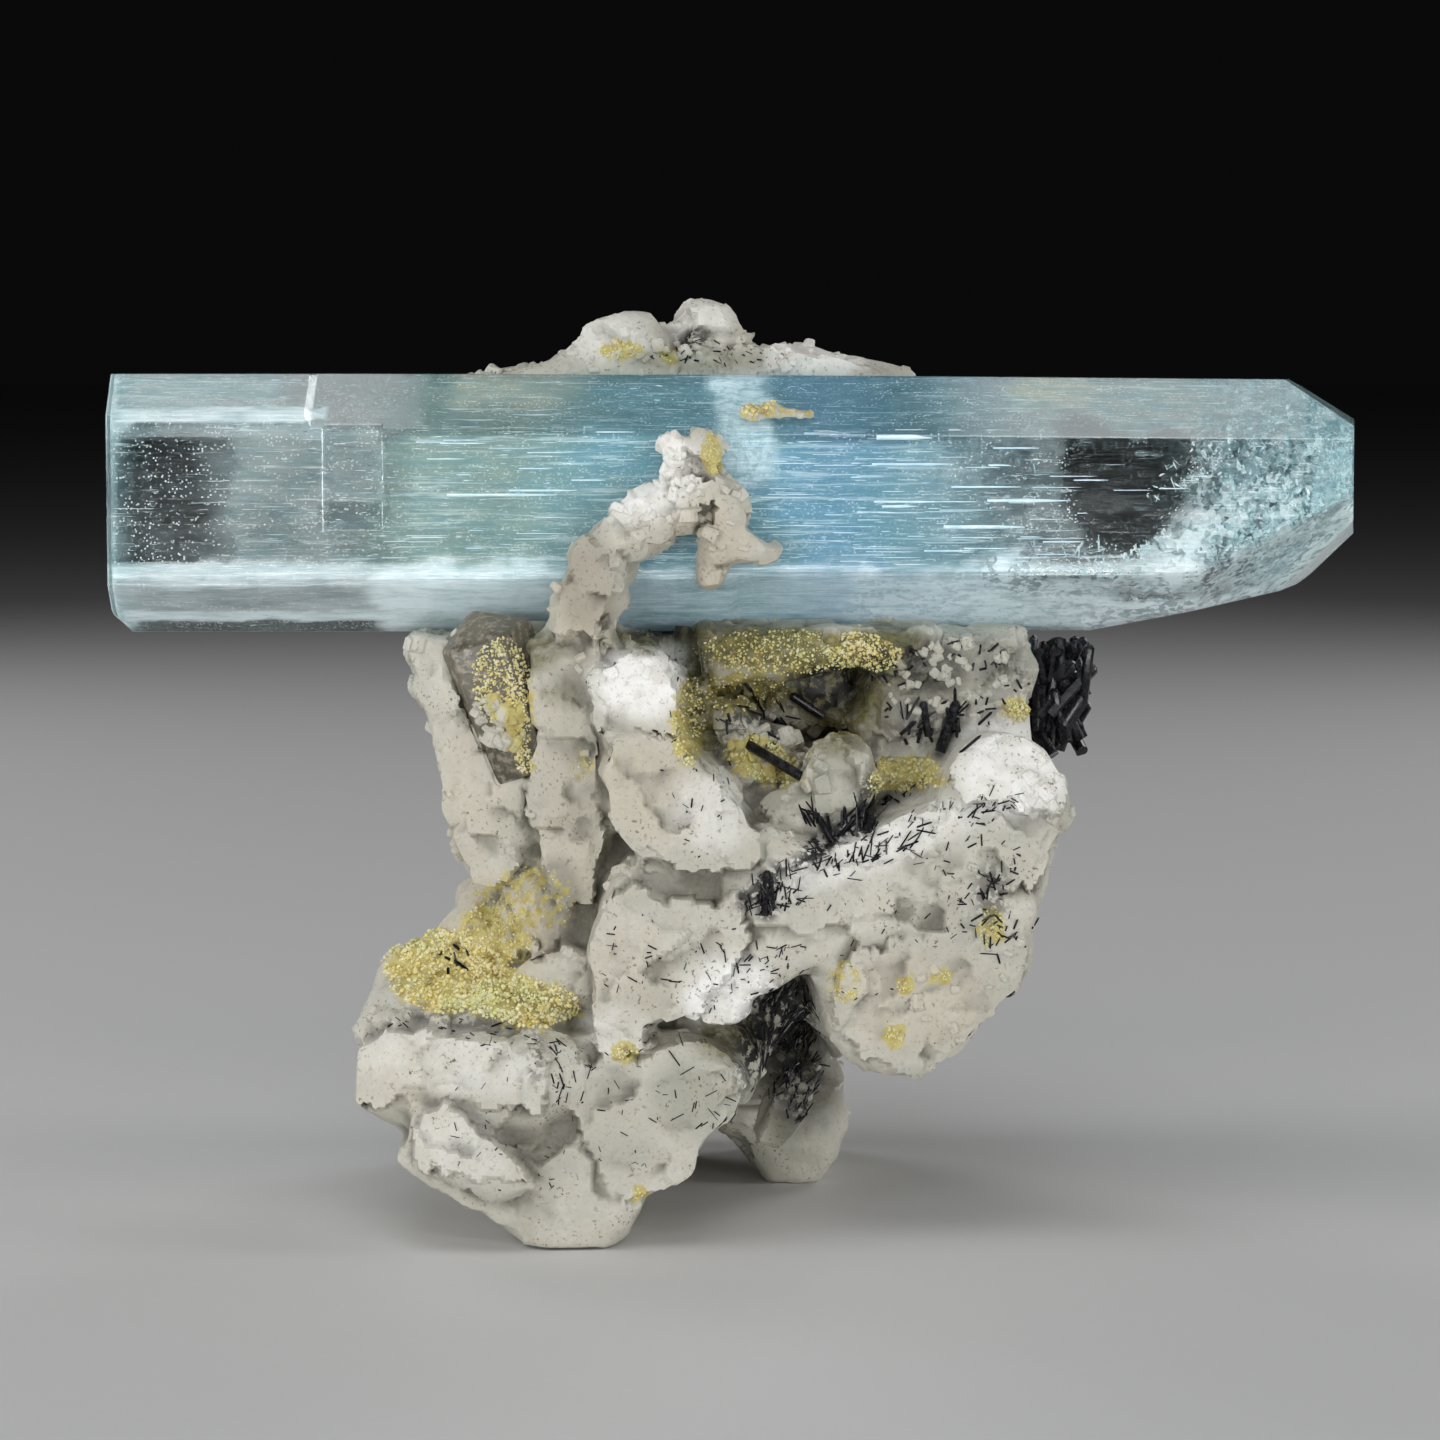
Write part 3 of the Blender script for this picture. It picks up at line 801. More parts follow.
def aquamarine_material(settings):
    """Clear beryl: colourless towards its ends, blue in its middle, and striated along its length."""
    material, tree, shader, place = new_material(
        "aquamarine_clear", Transmission_Weight=1.0, IOR=settings.ior, Roughness=0.02)
    east = node(tree, "SeparateXYZ", {0: place}).outputs["X"]
    drift = growth_lines(tree, place, (90.0, 160.0, 260.0), 3.0)
    drift = times(tree, maths(tree, "SUBTRACT", drift, 0.5), 0.016)
    along = spread(tree, maths(tree, "ADD", east, drift), -HALF_LENGTH, HALF_LENGTH)
    stops = (
        (0.00, settings.teal), (0.02, settings.teal), (0.035, settings.clear), (0.22, settings.clear),
        (0.34, settings.blue), (0.54, settings.blue), (0.585, settings.violet), (0.64, settings.violet),
        (0.70, settings.blue), (0.80, settings.clear), (0.90, settings.clear), (0.97, settings.teal))
    tree.links.new(ramp_of(tree, along, stops), shader.inputs["Base Color"])
    smear = growth_lines(tree, place, (70.0, 500.0, 700.0), 4.0)
    tree.links.new(spread(tree, smear, 0.48, 0.72, 0.015, 0.16), shader.inputs["Roughness"])
    bump(tree, shader, (
        (growth_lines(tree, place, (40.0, 1500.0, 1500.0)), 0.00005, 0.5),
        (growth_lines(tree, place, (160.0, 260.0, 420.0), 2.0),
         0.00016, 0.35)))
    depth = node(tree, "VolumeAbsorption", {"Color": (0.55, 0.85, 0.95, 1.0), "Density": settings.depth})
    output = tree.nodes["Material Output"]
    tree.links.new(depth.outputs["Volume"], output.inputs["Volume"])
    lamps = node(tree, "BsdfTransparent", {"Color": (0.86, 0.95, 0.98, 1.0)})
    shade = node(tree, "MixShader", {0: node(tree, "LightPath").outputs["Is Shadow Ray"],
                                     1: shader.outputs["BSDF"], 2: lamps.outputs["BSDF"]})
    tree.links.new(shade.outputs["Shader"], output.inputs["Surface"])
    return material


def milk_material(settings):
    """The cloudy zone just under the aquamarine's faces: fine tubes and healed films, with clear windows left in it."""
    material, tree, shader, place = new_material("aquamarine_milk", Roughness=0.55, IOR=1.1, Specular_IOR_Level=0.2)

    def lines(along, across, detail):
        return growth_lines(tree, place, (along, across, across), detail)

    body, white, craze, warm = (stored(tree, name) for name in ("cloudiness", "whiteness", "crazing", "warmth"))
    streaks, dashes = lines(150.0, 3400.0, 5.0), lines(520.0, 8200.0, 2.0)
    specks = node(tree, "TexVoronoi", {"Vector": place, "Scale": 3000.0}, feature="F1").outputs["Distance"]
    broad, wisps = lines(110.0, 260.0, 3.0), lines(260.0, 900.0, 4.0)
    centred = maths(tree, "SUBTRACT", broad, 0.5)
    even = spread(tree, maths(tree, "ADD", body, times(tree, centred, 0.45)), 0.34, 0.92, 0.0, 0.94)
    need = times(tree, maths(tree, "SUBTRACT", 1.0, body), 0.09)
    high = maths(tree, "ADD", 0.50, need)
    streaked = spread(tree, maths(tree, "SUBTRACT", streaks, maths(tree, "ADD", high, need)), 0.0, 0.08, 0.0, 0.75)
    dotted = times(tree, spread(tree, specks, 0.34, 0.16, 0.0, 0.95), spread(tree, wisps, 0.34, 0.56))
    dashed = spread(tree, maths(tree, "SUBTRACT", dashes, maths(tree, "ADD", high, 0.12)), 0.0, 0.04, 0.0, 0.95)
    some = spread(tree, body, 0.05, 0.34)
    marks = times(tree, some, maths(tree, "MAXIMUM", streaked, maths(tree, "MAXIMUM", dotted, dashed)))
    shade = effect(tree, "Crackle", {"Vector": place, "Scale": 700.0}, "Shade")
    cracks = effect(tree, "Crackle", {"Vector": place, "Scale": 1500.0}, "Cracks")
    small = effect(tree, "Crackle", {"Vector": place, "Scale": 2200.0}, "Shade")
    glints = maths(tree, "ADD", times(tree, shade, 0.30), times(tree, small, 0.36))
    glints = maths(tree, "ADD", glints, times(tree, wisps, 0.34))
    web = times(tree, craze, times(tree, cracks, 0.6))
    alpha = maths(tree, "MAXIMUM", maths(tree, "MAXIMUM", even, marks), web)
    holes = times(tree, craze, spread(tree, glints, 0.50, 0.34, 0.0, 0.92))
    alpha = times(tree, alpha, maths(tree, "SUBTRACT", 1.0, holes))
    tree.links.new(alpha, shader.inputs["Alpha"])

    east = node(tree, "SeparateXYZ", {0: place}).outputs["X"]
    drift = times(tree, centred, 0.020)
    along = spread(tree, maths(tree, "ADD", east, drift), -HALF_LENGTH, HALF_LENGTH)
    stops = (
        (0.00, settings.haze_teal), (0.02, settings.haze_grey), (0.20, settings.haze_grey),
        (0.24, settings.haze_green), (0.33, settings.haze_green), (0.42, settings.haze_blue),
        (0.51, settings.haze_blue), (0.54, settings.haze_violet), (0.58, settings.haze_violet),
        (0.62, settings.haze_blue), (0.75, settings.haze_grey), (0.85, settings.haze_grey),
        (0.90, settings.haze_teal), (1.00, settings.haze_teal))
    colour = blend(tree, warm, ramp_of(tree, along, stops), (0.62, 0.54, 0.40))
    shaded = spread(tree, wisps, 0.60, 0.36, 0.0, 0.45)
    colour = blend(tree, shaded, colour, (0.15, 0.33, 0.37))
    pale = times(tree, white, spread(tree, wisps, 0.30, 0.66, 0.45, 1.15))
    colour = blend(tree, spread(tree, pale, 0.0, 1.0), colour, (0.90, 0.95, 0.97))
    colour = blend(tree, times(tree, marks, 0.55), colour, (0.90, 0.96, 0.98))
    colour = blend(tree, times(tree, dashed, 0.5), colour, (0.97, 0.99, 1.0))
    sparse = spread(tree, dashes, 0.34, 0.30, 0.0, 0.55)
    colour = blend(tree, sparse, colour, (0.12, 0.20, 0.24))
    bright = times(tree, craze, spread(tree, glints, 0.50, 0.72, 0.0, 0.7))
    colour = blend(tree, bright, colour, (0.95, 0.98, 0.98))
    dull = times(tree, craze, spread(tree, glints, 0.44, 0.34, 0.0, 0.6))
    colour = blend(tree, dull, colour, (0.16, 0.36, 0.39))
    colour = blend(tree, web, colour, (0.88, 0.94, 0.95))
    tree.links.new(colour, shader.inputs["Base Color"])
    bump(tree, shader, ((streaks, 0.0002, 0.5), (times(tree, craze, shade), 0.0006, 0.8)))
    return material


def fracture_material():
    """Bright flat fractures inside the aquamarine: white to teal, some half clear."""
    material, tree, shader, place = new_material("aquamarine_fracture", Roughness=0.32, IOR=1.4)
    tone = stored(tree, "tone")
    grain = cloud(tree, place, 2400.0, 0.40, 0.60)
    colour = blend(tree, tone, (0.97, 0.99, 0.99), (0.42, 0.70, 0.72))
    tree.links.new(blend(tree, times(tree, grain, 0.35), colour, (0.70, 0.82, 0.84)),
                   shader.inputs["Base Color"])
    tree.links.new(spread(tree, grain, 0.0, 1.0, 0.92, 0.35), shader.inputs["Alpha"])
    return material


def tube_material():
    """Bright hollow tubes inside the aquamarine."""
    material, tree, shader, place = new_material(
        "aquamarine_tube", Base_Color=(0.93, 0.97, 0.98), Roughness=0.4, IOR=1.3)
    pearl = cloud(tree, place, 700.0, 0.35, 0.65)
    tree.links.new(blend(tree, pearl, (0.93, 0.97, 0.98), (0.66, 0.82, 0.90)), shader.inputs["Base Color"])
    return material


def quartz_material(settings):
    """Grey-brown smoky quartz with a satin skin."""
    material, tree, shader, place = new_material(
        "smoky_quartz_satin", IOR=1.55, Roughness=0.28, Subsurface_Weight=0.25, Subsurface_Radius=(1.0, 0.9, 0.7),
        Subsurface_Scale=0.0015)
    haze = cloud(tree, place, 260.0, 0.38, 0.66)
    dots = cloud(tree, place, 1500.0, 0.50, 0.60)
    colour = blend(tree, haze, settings.smoke, settings.haze)
    tree.links.new(blend(tree, times(tree, dots, 0.40), colour, (0.50, 0.43, 0.34)), shader.inputs["Base Color"])
    tree.links.new(spread(tree, haze, 0.0, 1.0, 0.20, 0.48), shader.inputs["Roughness"])
    bump(tree, shader, (
        (growth_lines(tree, place, (900.0, 900.0, 2600.0)), 0.00006, 0.6),
        (effect(tree, "Sugar", {"Vector": place, "Scale": 2600.0}, "Height"), 0.00004, 0.5)))
    return material


def schorl_material(settings):
    """Glossy black tourmaline."""
    material, tree, shader, place = new_material(
        "schorl_black", Roughness=0.22, IOR=1.64, Specular_IOR_Level=0.2, Base_Color=settings.black)
    wear = cloud(tree, place, 1500.0, 0.45, 0.70)
    tree.links.new(blend(tree, times(tree, wear, 0.5), settings.black, (0.045, 0.045, 0.05)),
                   shader.inputs["Base Color"])
    tree.links.new(spread(tree, wear, 0.0, 1.0, 0.16, 0.42), shader.inputs["Roughness"])
    bump(tree, shader, (
        (growth_lines(tree, place, (5200.0, 5200.0, 500.0)), 0.00004, 0.6),))
    return material


def crust_material(settings):
    """Yellow, greenish and pale grains."""
    material, tree, shader, place = new_material(
        "crust_yellow", Roughness=0.42, IOR=1.55, Subsurface_Weight=0.3, Subsurface_Radius=(1.0, 0.8, 0.4),
        Subsurface_Scale=0.0004)
    green = cloud(tree, place, 170.0, 0.44, 0.62)
    pale = cloud(tree, place, 1400.0, 0.42, 0.62)
    brown = cloud(tree, place, 1000.0, 0.58, 0.66)
    colour = blend(tree, green, settings.yellow, settings.green)
    colour = blend(tree, times(tree, pale, 0.75), colour, settings.pale)
    colour = blend(tree, times(tree, brown, 0.8), colour, (0.30, 0.21, 0.07))
    tree.links.new(colour, shader.inputs["Base Color"])
    tree.links.new(spread(tree, pale, 0.0, 1.0, 0.30, 0.55), shader.inputs["Roughness"])
    bump(tree, shader, ((effect(tree, "Sugar", {"Vector": place, "Scale": 5200.0}, "Height"), 0.00003, 0.6),))
    return material


# ---------------------------------------------------------------- making pieces

def select_only(obj):
    """Selects one object and nothing else."""
    bpy.ops.object.select_all(action="DESELECT")
    obj.select_set(True)
    bpy.context.view_layer.objects.active = obj


def edit(obj):
    """Opens an object's mesh for editing with everything in it selected."""
    select_only(obj)
    bpy.ops.object.mode_set(mode="EDIT")
    bpy.ops.mesh.select_all(action="SELECT")


def done():
    """Closes the mesh."""
    bpy.ops.object.mode_set(mode="OBJECT")


def finish_with(obj, kind, **values):
    """Adds a modifier and applies it."""
    select_only(obj)
    modifier = obj.modifiers.new(kind.title(), kind)
    for key, value in values.items():
        setattr(modifier, key, value)
    bpy.ops.object.modifier_apply(modifier=modifier.name)


def new_object(name, mesh):
    """Places a mesh in the scene."""
    obj = bpy.data.objects.new(name, mesh)
    bpy.context.scene.collection.objects.link(obj)
    return obj


def merged_copy(name, source):
    """A copy of a solid with its loose triangles merged."""
    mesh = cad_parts[source].data.copy()
    mesh.name = name
    mesh.materials.clear()
    obj = new_object(name, mesh)
    edit(obj)
    bpy.ops.mesh.remove_doubles(threshold=1e-6)
    done()
    return obj


def relief(name, kind, size, **values):
    """A texture for a Displace modifier, at a real size."""
    texture = bpy.data.textures.new(name, kind)
    texture.noise_scale = size
    for key, value in values.items():
        setattr(texture, key, value)
    return texture


def smooth_but_for_edges(obj, angle=30.0):
    """Smooth shading that keeps the sharp edges."""
    select_only(obj)
    bpy.ops.object.shade_smooth_by_angle(angle=math.radians(angle))


def points_of(obj, value="co"):
    """An object's points, or another vector of each point, as an array."""
    flat = np.empty(len(obj.data.vertices) * 3)
    obj.data.vertices.foreach_get(value, flat)
    return flat.reshape(-1, 3)


def normals_of(obj):
    """An object's point normals as an array."""
    return points_of(obj, "normal")


def set_points(obj, points):
    """Writes an object's points."""
    obj.data.vertices.foreach_set("co", np.asarray(points).ravel())
    obj.data.update()


def surface_of(*objects):
    """One ray-castable surface of several objects."""
    points, faces = [], []
    for obj in objects:
        start = len(points)
        points += [v.co.copy() for v in obj.data.vertices]
        faces += [[start + i for i in p.vertices] for p in obj.data.polygons]
    return BVHTree.FromPolygons(points, faces)


def search_tree(points):
    """A tree that finds the nearest of some points."""
    tree = KDTree(len(points))
    for index, point in enumerate(points):
        tree.insert(point, index)
    tree.balance()
    return tree


def seeds_on(obj, spacing, rng):
    """The numbers of random points of a surface, about that far apart."""
    area = sum(face.area for face in obj.data.polygons)
    return rng.choice(len(obj.data.vertices), max(4, int(area / spacing ** 2)), replace=False)


def facet(obj, spacing, tilt, step, seed):
    """Breaks a surface into flat cleavage facets: each leans its own way and stands at its own height."""
    rng = np.random.default_rng(seed)
    points, normals = points_of(obj), normals_of(obj)
    chosen = points[seeds_on(obj, spacing, rng)]
    tree = search_tree(chosen)
    lean = rng.normal(0.0, math.tan(math.radians(tilt)), (len(chosen), 3))
    height = rng.uniform(-step, step, len(chosen))
    warp = spacing * 0.35
    owner = np.array([
        tree.find(Vector(p) + noise.noise_vector(Vector(p) / spacing * 1.7) * warp)[1] for p in points])
    raised = height[owner] + np.einsum("ij,ij->i", lean[owner], points - chosen[owner])
    raised = np.clip(raised, -1.6 * step, 1.2 * step)
    set_points(obj, points + normals * raised[:, None])


def cleave(obj, spacing, strength, limit, tilt, seed):
    """Flattens a surface into the planes of cleavage: each point moves onto the plane of its nearest seed."""
    rng = np.random.default_rng(seed)
    points, normals = points_of(obj), normals_of(obj)
    chosen = seeds_on(obj, spacing, rng)
    tree = search_tree(points[chosen])
    planes = normals[chosen] + rng.normal(0.0, math.tan(math.radians(tilt)), (len(chosen), 3))
    planes /= np.linalg.norm(planes, axis=1)[:, None]
    owner = np.array([
        tree.find(Vector(p) + noise.noise_vector(Vector(p) / spacing * 1.3) * spacing * 0.16)[1] for p in points])
    facing_ratio = np.clip(np.einsum("ij,ij->i", normals, planes[owner]), 0.4, 1.0)
    away = np.einsum("ij,ij->i", points[chosen][owner] - points, planes[owner]) / facing_ratio
    set_points(obj, points + normals * np.clip(away * strength, -limit, limit)[:, None])


def outline_weight(x, z, outline, soft):
    """1 inside an outline in X and Z, fading to 0 at a soft distance outside it."""
    inside = np.zeros(x.shape, dtype=bool)
    nearest = np.full(x.shape, np.inf)
    for (x1, z1), (x2, z2) in zip(outline, outline[1:] + outline[:1]):
        if z1 != z2:
            inside ^= ((z1 > z) != (z2 > z)) & (x < (x2 - x1) * (z - z1) / (z2 - z1) + x1)
        long = (x2 - x1) ** 2 + (z2 - z1) ** 2
        share = np.clip(((x - x1) * (x2 - x1) + (z - z1) * (z2 - z1)) / long, 0.0, 1.0)
        nearest = np.minimum(nearest, np.hypot(x - x1 - share * (x2 - x1), z - z1 - share * (z2 - z1)))
    return np.where(inside, 1.0, np.clip(1.0 - nearest / soft, 0.0, 1.0))


def raise_plates(obj, plates, wave, flat):
    """Flattens the front inside each plate's outline, broken into notches of about a wave, and lifts it into a step."""
    points, normals = points_of(obj), normals_of(obj)
    chosen = points[seeds_on(obj, wave, np.random.default_rng(8))]
    upright = (1.0, 1.0, 0.6)  # makes the notches taller than wide
    tree = search_tree(chosen * upright)
    owner = np.array([tree.find(p)[1] for p in points * upright])
    smooth, notched = 0.35, 0.65  # how far an outline follows a point's own place, and its seed's
    reach, bulge, fewest = 6.0, 2.2, 10  # how deep a plate reaches and what stands behind its plane, in mm; its points
    x, z = ((points * smooth + chosen[owner] * notched) / MM)[:, [0, 2]].T
    before = points[:, 1] / MM
    after = before.copy()
    plane = np.column_stack((points[:, 0] / MM, points[:, 2] / MM, np.ones(len(points))))
    for plate in plates:
        inside = (outline_weight(x, z, plate.outline, 0.01) > 0.5) & (normals[:, 1] < -0.1)
        if inside.sum() < fewest:
            continue
        inside &= before < before[inside].min() + reach
        for _ in range(3):
            lie, *_ = np.linalg.lstsq(plane[inside], before[inside], rcond=None)
            inside &= before - plane @ lie < bulge
        top, foot = max(z for _, z in plate.outline), min(z for _, z in plate.outline)
        height = plate.head + (plate.foot - plate.head) * np.clip((top - z) / (top - foot), 0.0, 1.0)
        flatter = before + (plane @ lie - before) * flat - height
        after = np.where(inside, np.minimum(flatter, np.where(after < before, after, np.inf)), after)
    points[:, 1] = after * MM
    set_points(obj, points)


def chip(obj, zones, spacing, strength, limit, tilt, seed):
    """Gives only some zones the sharp facets of broken crystals."""
    before = points_of(obj)
    cleave(obj, spacing, strength, limit, tilt, seed)
    weight = facing(obj, zones)[:, None]
    set_points(obj, before + (points_of(obj) - before) * weight)


def heap_up(obj, zones, height):
    """Raises low knolls inside some zones, for the crust's grains to lie on."""
    broad, fine = 0.0011, 0.0004  # sizes of the knolls
    heap = facing(obj, zones)
    knolls = np.array([noise.noise(Vector(p) / broad) + 0.5 * noise.noise(Vector(p) / fine) for p in points_of(obj)])
    set_points(obj, points_of(obj) + normals_of(obj) * (heap * (0.15 + knolls * 0.8) * height)[:, None])


def raise_flakes(obj, count, small, large, step, seed):
    """Overlaps thin flakes with straight-edged outlines over a surface, each proudest at its lower rim."""
    rng = np.random.default_rng(seed)
    points, normals = points_of(obj), normals_of(obj)
    tree = search_tree(points)
    lift = np.zeros(len(points))
    for index in rng.choice(len(points), count, replace=False):
        size = rng.uniform(small, large)
        near = np.array([found[1] for found in tree.find_range(points[index], size)])
        normal = normals[index]
        down = np.array((rng.normal(0, 0.6), rng.normal(0, 0.6), -1.0))
        down -= normal * down.dot(normal)
        down /= np.linalg.norm(down) + 1e-9
        offset = points[near] - points[index]
        u, v = offset @ np.cross(normal, down), offset @ down
        corners = rng.integers(4, 7)
        share = (np.arctan2(v, u) + rng.uniform(0, math.tau)) % (math.tau / corners) - math.pi / corners
        reach = size * 0.95 * math.cos(math.pi / corners) / np.cos(share) * (1 + 0.10 * np.sin(9 * share + index))
        inside = (np.hypot(u, v) < reach) & (normals[near] @ normal > 0.3)
        height = step * (0.35 + 0.65 * size / large) * (0.5 + 0.5 * v / size)
        near = near[inside]
        lift[near] = np.maximum(lift[near], height[inside])
    set_points(obj, points + normals * lift[:, None])


def slab_of(name, slab):
    """A cleavage slab: its outline as one face, pushed back through its thickness."""
    mesh = bpy.data.meshes.new(name)
    mesh.from_pydata([(x * MM, slab.front * MM, z * MM) for x, z in slab.outline], [], [range(len(slab.outline))])
    obj = new_object(name, mesh)
    edit(obj)
    bpy.ops.mesh.extrude_region_move(TRANSFORM_OT_translate={"value": (0, (slab.back - slab.front) * MM, 0)})
    bpy.ops.mesh.select_all(action="SELECT")
    bpy.ops.mesh.normals_make_consistent(inside=False)
    done()
    return obj


def join(obj, others):
    """Joins other objects into one."""
    bpy.ops.object.select_all(action="DESELECT")
    for other in others:
        other.select_set(True)
    obj.select_set(True)
    bpy.context.view_layer.objects.active = obj
    bpy.ops.object.join()


def hollows(obj, rounds, depth):
    """How deep each point lies in a hollow (1) or stands on a ridge (-1), over that many rounds of smoothing."""
    points, normals = points_of(obj), normals_of(obj)
    pairs = np.empty(len(obj.data.edges) * 2, dtype=np.int64)
    obj.data.edges.foreach_get("vertices", pairs)
    first, second = pairs.reshape(-1, 2).T
    size = len(points)
    links = np.bincount(first, minlength=size) + np.bincount(second, minlength=size)
    soft = points.copy()
    for _ in range(rounds):
        soft = np.stack([
            (np.bincount(first, soft[second, axis], size) + np.bincount(second, soft[first, axis], size)) / links
            for axis in range(3)], axis=1)
    return np.clip(np.einsum("ij,ij->i", soft - points, normals) / depth, -1.0, 1.0)


def keep_clear(obj, distance):
    """Moves an object's points out of the aquamarine, to a distance from its skin."""
    prism = merged_copy("room", "aquamarine_crystal")
    skin = surface_of(prism)
    remove([prism])
    reach = 4 * MM
    points = points_of(obj)
    for index, point in enumerate(points):
        near, normal, _, away = skin.find_nearest(Vector(point), reach)
        if near is None:
            continue
        depth = (Vector(point) - near).dot(normal)
        if depth < distance and (away < distance or depth < 0):
            points[index] = near + normal * distance
    set_points(obj, points)


def keep_inside(obj, other):
    """Pulls any point of an object that lies outside another back to just inside it."""
    tree = surface_of(other)
    points = points_of(obj)
    for index, point in enumerate(points):
        nearest, normal, _, _ = tree.find_nearest(Vector(point))
        if (Vector(point) - nearest).dot(normal) > -SINK:
            points[index] = nearest - normal * SINK
    set_points(obj, points)


def in_zone(zone, rng):
    """A random place in a zone, as a point in space far in front of the specimen."""
    sight, across, up = SIGHTS[zone.sight]
    radius, angle = math.sqrt(rng.random()), rng.random() * math.tau
    a, b = radius * math.cos(angle) * zone.half_across, radius * math.sin(angle) * zone.half_up
    turn = math.radians(zone.turn)
    a, b = a * math.cos(turn) - b * math.sin(turn), a * math.sin(turn) + b * math.cos(turn)
    return across * (zone.across + a) * MM + up * (zone.up + b) * MM - sight * FAR


def seats(zone, count, surface, rng):
    """Random places on a surface inside a zone, as (place, normal)."""
    sight = SIGHTS[zone.sight][0]
    found = []
    for _ in range(count):
        place, normal, _, _ = surface.ray_cast(in_zone(zone, rng), sight)
        if place is not None and normal.dot(sight) < -0.08:
            found.append((place, normal))
    return found


def zone_weights(points, zones, soften=0.9):
    """How far inside a list of (zone, strength) each point lies, from 0 to the strength."""
    weights = np.zeros(len(points))
    for zone, strength in zones:
        sight, across, up = SIGHTS[zone.sight]
        a = points @ np.array(across) / MM - zone.across
        b = points @ np.array(up) / MM - zone.up
        turn = math.radians(-zone.turn)
        a, b = a * math.cos(turn) - b * math.sin(turn), a * math.sin(turn) + b * math.cos(turn)
        radius = np.hypot(a / (zone.half_across + soften * 0.5), b / (zone.half_up + soften * 0.5))
        weights = np.maximum(weights, strength * np.clip((1.15 - radius) / 0.5, 0, 1))
    return weights


def facing(obj, zones):
    """For each point, whether it faces the side a zone is seen from; zones on other sides don't mark it."""
    points, normals = points_of(obj), normals_of(obj)
    total = np.zeros(len(points))
    for side, (sight, _, _) in SIGHTS.items():
        here = [(zone, strength) for zone, strength in zones if zone.sight == side]
        if here:
            front = np.clip((-(normals @ np.array(sight)) + 0.25) / 0.35, 0, 1)
            total = np.maximum(total, zone_weights(points, here) * front)
    return total


def mark(obj, name, weights):
    """Stores a value for each point, for the material to read."""
    attribute = obj.data.attributes.new(name, "FLOAT", "POINT")
    attribute.data.foreach_set("value", np.asarray(weights, dtype=np.float32))


def joined_copies(name, patterns, placed, material):
    """One mesh of many placed copies; placed lists (pattern number, 4x4 matrix)."""
    shapes = [(points_of(p), [tuple(f.vertices) for f in p.data.polygons]) for p in patterns]
    points, faces, start = [], [], 0
    for which, matrix in placed:
        corners, sides = shapes[which]
        turn = np.array(matrix)
        points.append(corners @ turn[:3, :3].T + turn[:3, 3])
        faces += [tuple(start + i for i in side) for side in sides]
        start += len(corners)
    mesh = bpy.data.meshes.new(name)
    mesh.from_pydata(np.concatenate(points).tolist(), [], faces)
    mesh.materials.append(material)
    return new_object(name, mesh)


def remove(objects):
    """Deletes working objects."""
    for obj in objects:
        bpy.data.objects.remove(obj)


def settle(obj):
    """Puts an object's place, turn and size into its mesh."""
    select_only(obj)
    bpy.ops.object.transform_apply(location=True, rotation=True, scale=True)


def stand(direction, turn=0.0):
    """A rotation that points +Z along a direction, turned about it."""
    return direction.to_track_quat("Z", "Y").to_matrix().to_4x4() @ Matrix.Rotation(turn, 4, "Z")


def scaled(x, y, z):
    """A scale matrix."""
    return Matrix.Diagonal((x, y, z, 1.0))


def scatter(rng, width):
    """A random vector."""
    return Vector((rng.gauss(0, width), rng.gauss(0, width), rng.gauss(0, width)))


def set_at(place, way, turn, *size):
    """The matrix that stands a pattern at a place, along a direction and turned about it, at a size in X, Y and Z."""
    return Matrix.Translation(place) @ stand(way, turn) @ scaled(*size)


def finish_piece(obj, material, slot, *replaced):
    """Gives a piece its material, its body and its slot."""
    if not obj.data.materials:
        obj.data.materials.append(material)
    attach(obj, BODY)
    if replaced:
        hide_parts(*replaced)


# ---------------------------------------------------------------- patterns that repeat

def grain_pattern(name, squash, seed):
    """A rounded, slightly angular grain."""
    bpy.ops.object.select_all(action="DESELECT")
    bpy.ops.mesh.primitive_ico_sphere_add(subdivisions=1, radius=0.5)
    grain = bpy.context.active_object
    grain.name = name
    edit(grain)
    bpy.ops.transform.resize(value=squash)
    bpy.ops.mesh.vertices_smooth(factor=0.2)
    bpy.ops.transform.vertex_random(offset=0.09, seed=seed)
    done()
    settle(grain)
    return grain


def needle_pattern(name, sides, tip):
    """A needle, one unit long along +Z from its foot, with a low pointed end."""
    bpy.ops.object.select_all(action="DESELECT")
    bpy.ops.mesh.primitive_cylinder_add(vertices=sides, radius=0.5, depth=1.0 - tip, location=(0, 0, (1.0 - tip) / 2))
    needle = bpy.context.active_object
    needle.name = name
    edit(needle)
    bpy.ops.mesh.select_all(action="DESELECT")
    done()
    top = max(needle.data.polygons, key=lambda face: face.center.z)
    top.select = True
    bpy.ops.object.mode_set(mode="EDIT")
    bpy.ops.mesh.select_mode(type="FACE")
    bpy.ops.mesh.extrude_region_move(TRANSFORM_OT_translate={"value": (0, 0, tip)})
    bpy.ops.transform.resize(value=(0.25, 0.45, 1.0))
    done()
    settle(needle)
    return needle


